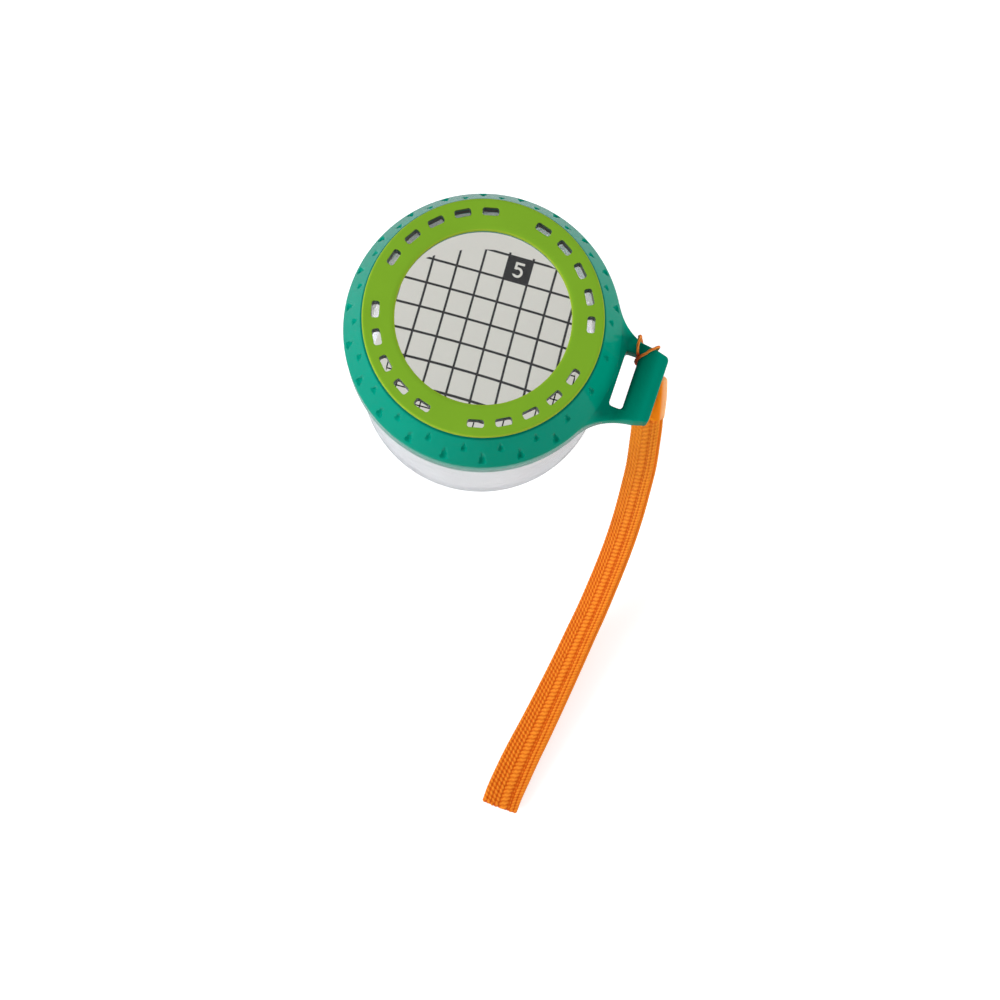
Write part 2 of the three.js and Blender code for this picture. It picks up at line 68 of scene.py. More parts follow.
VENT_RADIUS, VENT_WIDTH, VENT_LENGTH, VENT_CORNER = 33.8, 2.5, 5.3, 0.8
VENT_PLACES, VENT_GROUP, PEG_RADIUS, PEG_DROP, PEG_GAP = 24, 6, 1.3, 3.4, 0.3
LENS_CURVE, LENS_DOME, LENS_RADIUS, LENS_BOTTOM, LENS_TOP = 194.3, 28.4, 29.5, 93.0, 94.9
DIMPLES, DIMPLE_PHASE, DIMPLE_SHARES = 22, -5.7, np.linspace(0.06, 1, 24)
DIMPLE_ROWS = (
    {"shift": 0.5, "start": 2.0, "length": 6.6, "depth": 0.85, "half": 0.9, "lug_gap": 0.0},
    {"shift": 0.0, "start": 7.2, "length": 9.0, "depth": 1.05, "half": 1.1, "lug_gap": 26.0},
)
SLOT_INNER, SLOT_OUTER, SLOT_LENGTH, SLOT_CORNER, SLOT_EDGE, SLOT_TOP = 45.9, 50.5, 18.8, 1.0, 0.45, 4.9
LUG_REACH, LUG_TURN, LUG_EDGE, LUG_FOOT, LUG_OVERLAP = 59.8, 0.4, 0.6, 0.3, 1.2
BAR_HALF, BAR_CORNER, BAR_CREST_X, BAR_CREST, BAR_CURVE, ARM_X = 11.4, 1.8, 55.7, 9.6, 0.11, 55.15
FLARE_ANGLE, FLARE_X, UPPER_FLARE, LOWER_FLARE = 30.0, 43.3, (0.6, 3.3), (0.9, 2.1)
ROOT_LIFT, ROOT_RISE, ROOT_FADE, ROOT_SLOPE, ROOT_SINK = 1.0, 5.0, 0.55, 2.75, 1.2
TOP_SOFTNESS, TOP_DROP = 0.3, 0.1
FERRULE_WIDTH, FERRULE_DEPTH, FERRULE_LENGTH, FERRULE_CORNER = 12.4, 5.7, 14.6, 2.4
FERRULE_BEVEL, FERRULE_GAP, FERRULE_SWELL, FERRULE_OUTWARD = 1.0, 0.3, 0.25, (0.945, 0.327, 0.0)
STRAP_WIDTH, STRAP_LAYER, STRAP_GAP, STRAP_TUCK = 12.6, 1.2, 0.4, 2.0
STRAP_TILT, STRAP_UNTWIST, STRAP_SPREAD = 48.0, 4, (0.78, 0.22)
FACE_SWELL, FACE_EDGE, FACE_EDGE_LIFT, BACK_SWELL, BACK_EDGE = 0.2, 5, 1.4, 0.15, 14
CORD_RADIUS, CORD_STRANDS, CORD_LAY, CORD_TUCK, CORD_SWELL = 0.45, 3, 3.0, 0.9, 0.6
CORD_CORE, CORD_LOBE, LOBE_POWER, CORD_GUIDE = 0.8, 0.26, 0.8, (0.3, 0.2, 1.0)

# Masks: painted shade on the lid, the lug, the vents and the cord, painted light and shade on the braid, the
# knot's swell and the ferrule's paler side; how strong each is, and the places where it starts and is full
SEAM_SHADE, SEAM_RUN = 0.42, (LID_TOP - 1.0, LID_TOP - 0.3)
ROOT_SHADE, ROOT_RUN, ROOT_SIDES, ROOT_POWER = 0.28, (BAND_TOP + 7.5, BAND_TOP), (18.0, 9.0), 1.5
ARM_SHADE, ARM_RUNS, ARM_SIDES, ARM_MARGIN = 0.2, ((53.0, 49.0), (47.5, 44.5)), (17.0, 13.0), (0.0, 2.5)
BAR_SHADE, BAR_RUN, BAR_START, BAR_SIDE = 0.4, (51.9, 50.7), 50.3, 9.6
CREST_SHADE, CREST_RUN = 0.16, (57.0, 58.6)
KNOT_RUN, KNOT_HEIGHT, KNOT_REACH = (50.3, 49.9), 69.5, (4.8, 1.6)
# Painted shade on the cord where it lies in the slot
CORD_SLOT_SHADE, CORD_SLOT_X, CORD_SLOT_Y = 0.9, (52.6, 50.4), (11.2, 9.8)
CORD_SLOT_TOP, CORD_SLOT_FOOT = (76.4, 74.0), (63.0, 65.0)
# Painted light near the ferrule, most on the braid's left side, and painted shade further down it; painted
# shade on the braid's back
PAINTED_LIGHT_RUN, PAINTED_LIGHT_SIDE, PAINTED_LIGHT_SHADE, BACK_SHADE = 55.0, (0.08, -0.12), (0.3, 0.4, 0.2), 0.05
# Painted shade of the braid: in its grooves, between beads, more so towards the grooves, and on the sunk rib,
# and the power that sharpens it
GROOVE_SHADE, BEAD_SHADE, BEAD_GROOVE_SHADE, SINK_SHADE, SHADE_POWER = 0.8, 0.5, 0.35, 1.6, 1.3
VENT_SHADES = [0.0, -0.4, -1.0, -1.0]
FERRULE_SIDE_RUN = (0.6, 0.8)

# Ribs across the braid: end, slant, wave and pace of the stitches, roundness, depth, bead and sink; the bead
# and the sink also set the painted shade
RIBS = np.array((
    (0.115, 0.55, 0.0, 1.0, 0.8, 0.3, 0.22, 0.0),
    (0.23, 0.55, 0.0, 1.0, 0.9, 0.3, 0.22, 0.0),
    (0.345, 0.55, 0.0, 1.0, 0.9, 0.3, 0.22, 0.0),
    (0.46, 0.5, 0.0, 1.0, 0.9, 0.3, 0.22, 0.0),
    (0.715, -0.9, 0.08, 1.0, 0.5, 0.4, 0.2, 0.0),
    (0.785, 0.0, 0.0, 1.0, 0.6, 0.15, 0.17, 0.25),
    (0.895, -0.8, 0.0, 1.3, 0.8, 0.25, 0.16, 0.0),
    (1.0, -0.8, 0.0, 1.3, 0.8, 0.25, 0.16, 0.0),
))
RIB_OFFSET, USUAL_BEAD = 0.41, 0.2

# Routes in metres: the strap's middle line from the ferrule to its fold, and the hitched cord
STRAP_ROUTE = (
    (0.0596, -0.0045, 0.0513), (0.0605, -0.0076, 0.0494), (0.0615, -0.0118, 0.0469),
    (0.0631, -0.0194, 0.0417), (0.0640, -0.0268, 0.0362), (0.0647, -0.0345, 0.0306),
    (0.0650, -0.0424, 0.0253), (0.0649, -0.0506, 0.0204), (0.0645, -0.0590, 0.0160),
    (0.0639, -0.0677, 0.0123), (0.0630, -0.0765, 0.0096), (0.0621, -0.0855, 0.0078),
    (0.0611, -0.0945, 0.0067), (0.0600, -0.1036, 0.0057), (0.0588, -0.1128, 0.0049),
    (0.0575, -0.1219, 0.0041), (0.0565, -0.1309, 0.0032), (0.0560, -0.1365, 0.0026),
    (0.0559, -0.1405, 0.0021),
)
CORD_ROUTE = (
    (0.0552, 0.0084, 0.0584), (0.0549, 0.0095, 0.0591), (0.0539, 0.0114, 0.0608), (0.0520, 0.0133, 0.0630),
    (0.0500, 0.0148, 0.0658), (0.0488, 0.0156, 0.0688), (0.0485, 0.0157, 0.0718), (0.0485, 0.0149, 0.0742),
    (0.0486, 0.0132, 0.0750), (0.0489, 0.0114, 0.0750), (0.0493, 0.0101, 0.0745), (0.0499, 0.0095, 0.0724),
    (0.0500, 0.0094, 0.0692), (0.0501, 0.0093, 0.0662), (0.0500, 0.0100, 0.0644), (0.0500, 0.0112, 0.0624),
    (0.0512, 0.0126, 0.0607), (0.0532, 0.0132, 0.0600), (0.0554, 0.0132, 0.0600), (0.0576, 0.0126, 0.0608),
    (0.0586, 0.0112, 0.0622), (0.0582, 0.0096, 0.0638), (0.0562, 0.0085, 0.0648), (0.0536, 0.0080, 0.0649),
    (0.0506, 0.0081, 0.0649), (0.0500, 0.0083, 0.0664), (0.0500, 0.0083, 0.0692), (0.0500, 0.0083, 0.0722),
    (0.0506, 0.0089, 0.0743), (0.0520, 0.0103, 0.0755), (0.0533, 0.0118, 0.0764), (0.0550, 0.0134, 0.0759),
    (0.0554, 0.0141, 0.0730), (0.0553, 0.0143, 0.0695), (0.0551, 0.0140, 0.0660), (0.0554, 0.0129, 0.0634),
    (0.0561, 0.0110, 0.0616), (0.0565, 0.0090, 0.0603), (0.0568, 0.0079, 0.0597),
)

# Facets
SECTOR_STEPS, SECTOR_RADIAL_STEPS, SECTOR_SHARES = 24, 8, (1.0, 0.72, 0.45, 0.2)
TURN_COLUMNS, TURN_START = VENT_PLACES * SECTOR_STEPS, -180.0 / VENT_PLACES
JAR_COLUMNS, LENS_COLUMNS, CARD_COLUMNS = 288, 192, 144
CONE_STEP, BORE_STEP, NECK_STEP, JAR_STEP, CARD_STEP, TINY = 0.36, 0.6, 0.3, 8.0, 4.0, 1e-6
BEND_ROWS, ROUND_ROWS, HEEL_ROWS = 7, 4, 6
LUG_COLUMNS, LUG_ROWS, LUG_GUIDE, LUG_POINTS, SLOT_POINTS = 320, 30, 2.5, 2400, 900
ROOT_ROWS, BAR_ROWS, FLARE_ROWS, LENS_ROWS, RING_ROWS = 24, 10, 40, 40, (10, 8)
FERRULE_ROUTE_ROWS, FERRULE_BEVEL_ROWS, FERRULE_SHARES = 440, 7, np.linspace(0.12, 0.88, 12)
ROUTE_STEPS, STRAP_PATH_ROWS, CORD_PATH_ROWS, CORD_ROWS, CORD_COLUMNS = 60, 200, 400, 620, 18
STRAP_ROWS, STRAP_LOWER_STEP, FOLD_ROWS, STRAP_OUTER_COLUMNS, STRAP_INNER_COLUMNS = 700, 3, 14, 80, 14
WELD, WELD_SHIFT, CREASE, BRAID_CREASE, CORD_CREASE, LENS_CREASE = 2e-4, 0.137, 38.0, 60.0, 70.0, 4.0
EASED = 1 - math.sqrt(0.5)

# Finishes: scales of the noise per metre, the amounts by which it moves a value, and places in grid cells
CLOUD_SCALE, GRAIN_SCALE, FLOW_SCALE = 75.0, 2600.0, 260.0
# Painted shade: its near-black colour, and how far a mask below 0 takes a colour towards it
PAINTED_SHADE_COLOUR, PAINTED_SHADE_STRENGTH = (0.0, 0.004, 0.003, 1.0), 0.95
GRAIN_SHADE, GRAIN_GLOSS, FLOW_GLOSS, FLOW_HEIGHT, PLASTIC_SPECULAR = 0.35, 0.06, 0.08, 0.8, 0.012
FILAMENT_SCALE, FILAMENT_DEPTH, DYE_SCALE, DYE_DEPTH = 3400.0, 0.5, 420.0, 0.35
FIBRE_GLOSS, FIBRE_SHEEN, MATT_SPECULAR = (0.25, 0.62), 0.04, 0.1
SMEAR_SCALE, SMEAR_RUN, WAVE_SCALE, CLEAR_INDEX = 60.0, (0.45, 0.75), 180.0, 1.49
PAPER_SCALE, PAPER_SHADE, PAPER_GLOSS = 1500.0, 0.06, (-0.2, 0.75)
INK_SCALE, INK_RUN = 900.0, (0.2, 0.45, 0.985, 1.0)
GRID_SHIFT, LINE_SOFTNESS, LABEL_ROW = -0.04, 0.25, 6.0
FIGURE_BAR, FIGURE_STEM = (-0.17, 0.21, 0.22, 0.32), (-0.17, -0.07, 0.01, 0.32)
FIGURE_SHIFT, FIGURE_BOWL, FIGURE_SIDE, FIGURE_MOUTH = (0.01, 0.1), (0.12, 0.22), -0.09, (-0.19, 0.03)

# Stage, with each lamp's name, power setting, width, place and colour
CAMERA_ANGLES, CAMERA_TARGET, CAMERA_DISTANCE = (11.46, 82.52, 7.65), (0.02122, -0.04034, 0.0), 0.8
CAMERA_SENSOR, CAMERA_LENS, CAMERA_CLIP = 36.0, 81.83, (0.01, 20.0)
FLOOR_HALF, FLOOR_LEVEL, FLOOR_MIRRORED = 3.0, -0.0002, (0.85, 0.85, 0.85, 1.0)
GLOW_RUN, CEILING_RUN = (0.3, 1.0), (0.1, 0.8)
LAMPS = (
    ("main_lamp", "key", 0.7, (-0.96, -0.2, 0.75), (0.92, 1.0, 1.12)),
    ("front_lamp", "fill", 0.5, (-0.55, -0.78, 0.42), (1.0, 1.0, 1.0)),
    ("side_lamp", "side", 0.7, (0.98, 0.42, 0.3), (1.0, 1.0, 1.0)),
)
WHITE = (1.0, 1.0, 1.0, 1.0)


def linear(rgb):
    """Scene-linear colour of an sRGB colour given from 0 to 255."""
    share = np.array(rgb, float) / 255
    return tuple(np.where(share <= 0.04045, share / 12.92, ((share + 0.055) / 1.055) ** 2.4))


def colour_property(name, description, rgb):
    """Colour setting with an sRGB default."""
    limits = {"subtype": "COLOR", "size": 3, "min": 0, "max": 1}
    return FloatVectorProperty(name=name, description=description, default=linear(rgb), **limits)


def number_property(name, description, default, **kind):
    """Setting of a number that isn't negative, of a given kind."""
    return FloatProperty(name=name, description=description, default=default, min=0, **kind)


def length_property(name, description, millimetres):
    """Length setting with a default in millimetres."""
    kind = {"subtype": "DISTANCE", "unit": "LENGTH", "precision": 5}
    return number_property(name, description, millimetres * MM, **kind)


def share_property(name, description, default):
    """Setting from 0 to 1."""
    return number_property(name, description, default, subtype="FACTOR", max=1)


def power_property(name, description, default):
    """Power of a lamp."""
    return number_property(name, description, default, subtype="POWER", unit="POWER")


class BugViewerJarLook(bpy.types.PropertyGroup):
    """Finish of the jar and the lens."""

    plastic: colour_property("Jar Plastic", "Tint of the clear jar", (248, 248, 251))
    clearness: share_property("Jar Clearness", "Share of light that goes through the jar's plastic", 0.82)
    haze: share_property("Jar Haze", "Roughness of the jar's surface", 0.08)
    lens_haze: share_property("Lens Haze", "Roughness of the lens", 0.0)


class BugViewerGridLook(bpy.types.PropertyGroup):
    """Print on the jar's floor."""

    cell: length_property("Cell", "Side of a grid cell", 5.0)
    line: length_property("Line", "Width of the printed lines", 0.47)
    reach: length_property("Reach", "Radius of the printed circle", 33.42)
    turn: FloatProperty(
        name="Turn", description="Angle of the grid from the lug's direction", default=math.radians(3.48),
        subtype="ANGLE", unit="ROTATION",
    )
    paper: colour_property("Paper", "Bare card", (229, 224, 212))
    ink: colour_property("Ink", "Printed lines", (3, 3, 6))


class BugViewerLidLook(bpy.types.PropertyGroup):
    """Finish of the lid and the vent ring."""

    teal: colour_property("Teal", "Lid plastic", (0, 141, 116))
    green: colour_property("Green", "Vent ring plastic", (124, 168, 42))
    # Painted highlight along the vent ring's round edges
    green_edge: colour_property("Green Edge", "Vent ring plastic along its round edges", (162, 182, 52))
    satin: share_property("Satin", "Roughness of the coloured plastic", 0.13)


class BugViewerStrapLook(bpy.types.PropertyGroup):
    """Braid, cord and ferrule."""

    orange: colour_property("Braid", "Tops of the braid's strands", (255, 152, 44))
    # Painted shade in the hollows between the braid's strands
    orange_dark: colour_property("Braid Hollows", "Hollows between the strands", (200, 82, 6))
    cord: colour_property("Cord", "Thin cord", (255, 154, 62))
    # Painted shade in the hollows of the thin cord
    cord_dark: colour_property("Cord Hollows", "Hollows of the thin cord", (204, 62, 22))
    ferrule: colour_property("Ferrule", "Ferrule over the braid inside it", (255, 140, 26))
    ferrule_side: colour_property("Ferrule Sides", "Ferrule beside the braid", (255, 184, 128))
    stitch: length_property("Stitch", "Length of one stitch", 1.47)


class BugViewerStageLook(bpy.types.PropertyGroup):
    """Floor and light."""

    floor: colour_property("Floor", "Floor and backdrop", (236, 236, 236))
    ambient: number_property("Ambient", "Strength of the even light", 0.52)
    fill: power_property("Fill", "Power of the front lamp", 4.2)
    side: power_property("Side", "Power of the right lamp", 5.5)
    walls: number_property("Walls", "Strength of the room's walls in reflections", 0.8)
    ceiling: number_property("Ceiling", "Strength of the room's ceiling in reflections", 0.12)
    glow: number_property("Floor Glow", "The floor's own light where it is seen", 0.5)
    key: power_property("Key", "Power of the main lamp", 7.0)


def ramp(value, start, end):
    """0 up to start, 1 from end on, and straight between them; start may be the larger one."""
    return np.clip((value - start) / (end - start), 0, 1)


def unit(vectors):
    """Vectors at length one."""
    return vectors / np.linalg.norm(vectors, axis=-1, keepdims=True)


def run_length(line):
    """Distance along a line at each of its points."""
    return np.concatenate([[0], np.cumsum(np.linalg.norm(np.diff(line, axis=0), axis=1))])


def spaced(line, count):
    """A line's points again, count of them at equal distances along it."""
    along = run_length(line)
    at = np.linspace(0, along[-1], count)
    return np.stack([np.interp(at, along, line[:, k]) for k in range(line.shape[1])], axis=1)


def smooth_route(points, count):
    """Centripetal Catmull-Rom curve through points: between two points a cubic whose end slopes come from the
    neighbours, with each span weighted by the square root of its length; then count points along it."""
    p = np.asarray(points, float)
    p = np.vstack([2 * p[0] - p[1], p, 2 * p[-1] - p[-2]])
    p0, p1, p2, p3 = p[:-3], p[1:-2], p[2:-1], p[3:]
    d0, d1, d2 = (np.sqrt(np.linalg.norm(b - a, axis=1))[:, None] for a, b in ((p0, p1), (p1, p2), (p2, p3)))
    m1 = d1 * ((p1 - p0) / d0 - (p2 - p0) / (d0 + d1) + (p2 - p1) / d1)
    m2 = d1 * ((p2 - p1) / d1 - (p3 - p1) / (d1 + d2) + (p3 - p2) / d2)
    square, cube = 3 * (p2 - p1) - 2 * m1 - m2, 2 * (p1 - p2) + m1 + m2
    s = np.linspace(0, 1, ROUTE_STEPS, endpoint=False)[None, :, None]
    line = p1[:, None] + m1[:, None] * s + square[:, None] * s**2 + cube[:, None] * s**3
    return spaced(np.vstack([line.reshape(-1, 3), p2[-1:]]), count)


def arc(radius, height, bend, start, end, steps):
    """Profile points on a circle of radius bend about (radius, height), between two angles in degrees."""
    angle = np.radians(np.linspace(start, end, steps + 1))
    return [(radius + bend * c, height + bend * s) for c, s in zip(np.cos(angle), np.sin(angle))]


def bent(start, corner, end, count):
    """Parabola from start to end that leaves and arrives in line with a corner point."""
    t = np.linspace(0, 1, count)[:, None]
    return (1 - t) ** 2 * np.array(start) + 2 * t * (1 - t) * np.array(corner) + t**2 * np.array(end)


def dense(profile, step):
    """A profile with points added on its straight runs, at most step apart."""
    profile = np.asarray(profile, float)
    rows = [profile[:1]]
    for a, b in zip(profile[:-1], profile[1:]):
        count = max(1, math.ceil(np.linalg.norm(b - a) / step))
        rows.append(a + (b - a) * np.arange(1, count + 1)[:, None] / count)
    return np.vstack(rows)


def turned(profile, columns=TURN_COLUMNS, start=TURN_START):
    """Surface of revolution: each (radius, height) of the profile goes round the axis in columns steps.
    Returns the points and each point's angle."""
    profile = np.asarray(profile, float)
    angle = np.radians(start + 360.0 * np.arange(columns) / columns)[None, :]
    radius, height = profile[:, :1], profile[:, 1:]
    points = np.stack([radius * np.cos(angle), radius * np.sin(angle), height + 0 * angle], axis=-1)
    return points, np.broadcast_to(angle, points.shape[:2])


def capped(points):
    """Rows of points with one more row at each end, drawn together at the end row's middle."""
    ends = [np.broadcast_to(points[k].mean(axis=0), points[k].shape)[None] for k in (0, -1)]
    return np.concatenate([ends[0], points, ends[1]])


def polar(angle):
    """Plan directions at angles."""
    return np.stack([np.cos(angle), np.sin(angle)], axis=-1)


def turn_matrix(angle):
    """Matrix that turns plan points, one to a row, by an angle."""
    return np.array(((math.cos(angle), math.sin(angle)), (-math.sin(angle), math.cos(angle))))


def raised(plan, height):
    """Plan points at a height or heights."""
    return np.column_stack([plan, np.broadcast_to(height, len(plan))])


def add_object(name, data):
    """Object that shows its data in the scene."""
    item = bpy.data.objects.new(name, data)
    bpy.context.scene.collection.objects.link(item)
    return item


class Surface:
    """Grids of points and their faces, gathered into one welded mesh. Points are in millimetres."""

    def __init__(self):
        self.points, self.faces, self.masks, self.count = [], [], [], 0

    def grid(self, points, mask=0.0, closed=False, flip=False):
        """Adds rows by columns of points, closed round the columns and, if asked, round the rows, with a
        mask. Returns the surface."""
        rows, columns = points.shape[:2]
        row = np.arange(rows if closed else rows - 1)[:, None]
        column = np.arange(columns)[None, :]
        low, high, right = row * columns, ((row + 1) % rows) * columns, (column + 1) % columns
        faces = np.stack([low + column, low + right, high + right, high + column], axis=-1)
        faces = faces.reshape(-1, 4) + self.count
        self.faces.append(faces[:, ::-1] if flip else faces)
        self.points.append(points.reshape(-1, 3))
        self.masks.append(np.broadcast_to(np.asarray(mask, float), (rows, columns)).reshape(-1))
        self.count += rows * columns
        return self

    def turn(self, profile, mask=0.0, columns=TURN_COLUMNS, start=TURN_START):
        """Adds a profile turned round the axis. Returns the surface."""
        return self.grid(turned(profile, columns, start)[0], mask)

    def made(self, name, material, crease, mask_name):
        """Mesh object: like points are welded, faces that close up become triangles, and edges sharper than
        the crease angle stay sharp."""
        points, faces, masks = np.vstack(self.points), np.vstack(self.faces), np.concatenate(self.masks)
        keys = np.floor(points / WELD + WELD_SHIFT).astype(np.int64)
        _, first, same = np.unique(keys, axis=0, return_index=True, return_inverse=True)
        points, masks, faces = points[first], masks[first], same.reshape(-1)[faces]
        shut = faces == np.roll(faces, -1, axis=1)
        shut_count = shut.sum(axis=1)
        quads, single = faces[shut_count == 0], faces[shut_count == 1]
        triangles = single[np.arange(4) != shut[shut_count == 1].argmax(axis=1)[:, None]]
        corners = np.concatenate([quads.ravel(), triangles]).astype(np.int32)
        sizes = np.concatenate([np.full(len(quads), 4), np.full(len(single), 3)])
        mesh = bpy.data.meshes.new(name)
        mesh.vertices.add(len(points))
        mesh.vertices.foreach_set("co", (points * MM).astype(np.float32).ravel())
        mesh.loops.add(len(corners))
        mesh.loops.foreach_set("vertex_index", corners)
        mesh.polygons.add(len(sizes))
        mesh.polygons.foreach_set("loop_start", np.concatenate([[0], np.cumsum(sizes)[:-1]]).astype(np.int32))
        mesh.update(calc_edges=True)
        if mesh.validate():
            raise RuntimeError(f"{name}: its mesh had faults")
        mesh.attributes.new(mask_name, "FLOAT", "POINT").data.foreach_set("value", masks.astype(np.float32))
        mesh.shade_smooth()
        mesh.set_sharp_from_angle(angle=math.radians(crease))
        mesh.materials.append(material)
        return add_object(name, mesh)


def make_piece(name, surface, material, body, node, crease=CREASE, mask_name="rim"):
    """Piece from a surface, which rides on a body, stands for a CAD node, which it hides, and takes a
    material.
    """
    piece = surface.made(name, material, crease, mask_name)
    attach(piece, body)
    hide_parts(node)
    return piece


def pushed_out(points, angle, amount):
    """Points moved out from the axis by an amount."""
    way = np.stack([np.cos(angle), np.sin(angle), np.zeros_like(angle)], axis=-1)
    return points + way * amount[..., None]


def threaded(profile, width, foot, way, **turning):
    """Turned profile with a thread's ridges raised outwards, way 1, or inwards, way -1: each start climbs by
    the lead per turn for the thread's arc, its section is a trapezium, and it runs out over a few degrees at
    both ends."""
    points, angle = turned(profile, **turning)
    height, degrees = points[..., 2], np.degrees(angle) % 360
    ridge = np.zeros_like(height)
    for first in 360.0 / THREAD_STARTS * np.arange(THREAD_STARTS):
        turn = (degrees - first + THREAD_RUN_OUT) % 360 - THREAD_RUN_OUT
        middle = foot + THREAD_LEAD * turn / 360
        flank = np.clip((width / 2 - np.abs(height - middle)) / THREAD_FLANK, 0, 1)
        run_out = ramp(turn, 0, THREAD_RUN_OUT) * ramp(turn, THREAD_ARC, THREAD_ARC - THREAD_RUN_OUT)
        ridge = np.maximum(ridge, THREAD_HEIGHT * flank * run_out)
    ridge[[0, -1]] = 0
    return pushed_out(points, angle, way * ridge)


def square_walk():
    """Points on the outline of the square from -1 to 1, anticlockwise, with a sector's steps on its sides."""
    across = np.linspace(-1, 1, SECTOR_RADIAL_STEPS + 1)[:-1]
    along = np.linspace(-1, 1, SECTOR_STEPS + 1)[:-1]
    one, other = np.ones_like(along), np.ones_like(across)
    return np.concatenate([across, one, -across, -one]), np.concatenate([-other, along, other, -along])


def rounded_outline(x, y, width, length, corner):
    """Rectangle with round corners: each point of the square's outline is stretched to the rectangle, then
    set at the corner radius from the nearest point of the inner rectangle."""
    half = np.array((width, length)) / 2
    corner = min(corner, *(half - TINY))
    at = np.stack([x, y], axis=-1) * half
    inner = np.clip(at, corner - half, half - corner)
    return inner + unit(at - inner) * corner


def add_vented_ring(surface, inner, outer, bottom, top, edge, hole, peg_drop=0.0):
    """Flat ring between two radii and heights, made of equal sectors. Each sector is a band of loops that
    change from the sector's own outline to its opening's outline, go down the opening's wall and spread out
    again below. The first sector of each group has a round hole, or a peg below if it has a drop, and the
    others have a vent. The mask is -1, a painted shade, on the walls of vents and holes."""
    x, y = square_walk()
    half_angle = math.pi / VENT_PLACES
    radius = (inner + outer) / 2 + x * (outer - inner) / 2
    for place in range(VENT_PLACES):
        vent = place % VENT_GROUP > 0
        middle = 2 * half_angle * place
        angle = middle + y * half_angle
        rim, turn = radius[:, None] * polar(angle), turn_matrix(middle)

        def outline(grow):
            """Outline of the sector's opening, grown on all sides: a round-cornered vent or a circle."""
            if vent:
                width, length = VENT_WIDTH + 2 * grow, VENT_LENGTH + 2 * grow
                local = rounded_outline(x, y, width, length, VENT_CORNER + grow)
            else:
                local = unit(np.stack([x, y], axis=-1)) * (hole + grow)
            return (local + (VENT_RADIUS, 0)) @ turn

        peg = peg_drop > 0 and not vent
        over, under = outline(0.0 if peg else edge), outline(0.0)
        upper = [raised(over + (rim - over) * share, top) for share in SECTOR_SHARES] + [raised(over, top)]
        lower = [raised(under + (rim - under) * share, bottom) for share in (0.0, *SECTOR_SHARES[::-1])]
        if peg:
            centre = np.broadcast_to(np.array([(VENT_RADIUS, 0.0)]) @ turn, rim.shape)
            foot = bottom - peg_drop
            surface.grid(np.stack(upper + [raised(centre, top)]))
            surface.grid(np.stack([raised(centre, foot), raised(under, foot)] + lower))
        else:
            wall = [raised(outline(edge * EASED), top - edge * EASED)]
            wall += [raised(under, top - edge), raised(under, top - 2 * edge)]
            # Painted shade on the walls of the opening
            deep = [0.0] * len(upper) + VENT_SHADES + [0.0] * (len(lower) - 1)
            surface.grid(np.stack(upper + wall + lower), np.array(deep)[:, None])


def dimple_depth(slope_distance, radius, angle):
    """Depth of the grip dimples: each is a row of balls that grow and sink from a point up the slope to the
    round lower end, and the depth is the deepest ball's; a few shared steps stand for the whole row."""
    depth = np.zeros_like(angle)
    degrees, pitch = np.degrees(angle), 360.0 / DIMPLES
    for row in DIMPLE_ROWS:
        ball = (row["half"] ** 2 + row["depth"] ** 2) / (2 * row["depth"])
        reach, lift = row["length"] - row["half"], ball - row["depth"]
        place = np.round((degrees - DIMPLE_PHASE) / pitch - row["shift"]) + row["shift"]
        middle = DIMPLE_PHASE + pitch * place
        side = np.radians(degrees - middle) * radius
        kept = np.abs((middle + 540) % 360 - 180) >= row["lug_gap"]
        for share in DIMPLE_SHARES:
            down = slope_distance - row["start"] - reach * share
            square = np.maximum((ball * share) ** 2 - side**2 - down**2, 0)
            depth = np.maximum(depth, np.where(kept, np.sqrt(square) - lift * share, 0))
    return depth


def cone_radius(height):
    """Radius of the lid's cone at a height."""
    return BAND_RADIUS + (LID_TOP_RADIUS - BAND_RADIUS) * (height - BAND_TOP) / (LID_TOP - BAND_TOP)


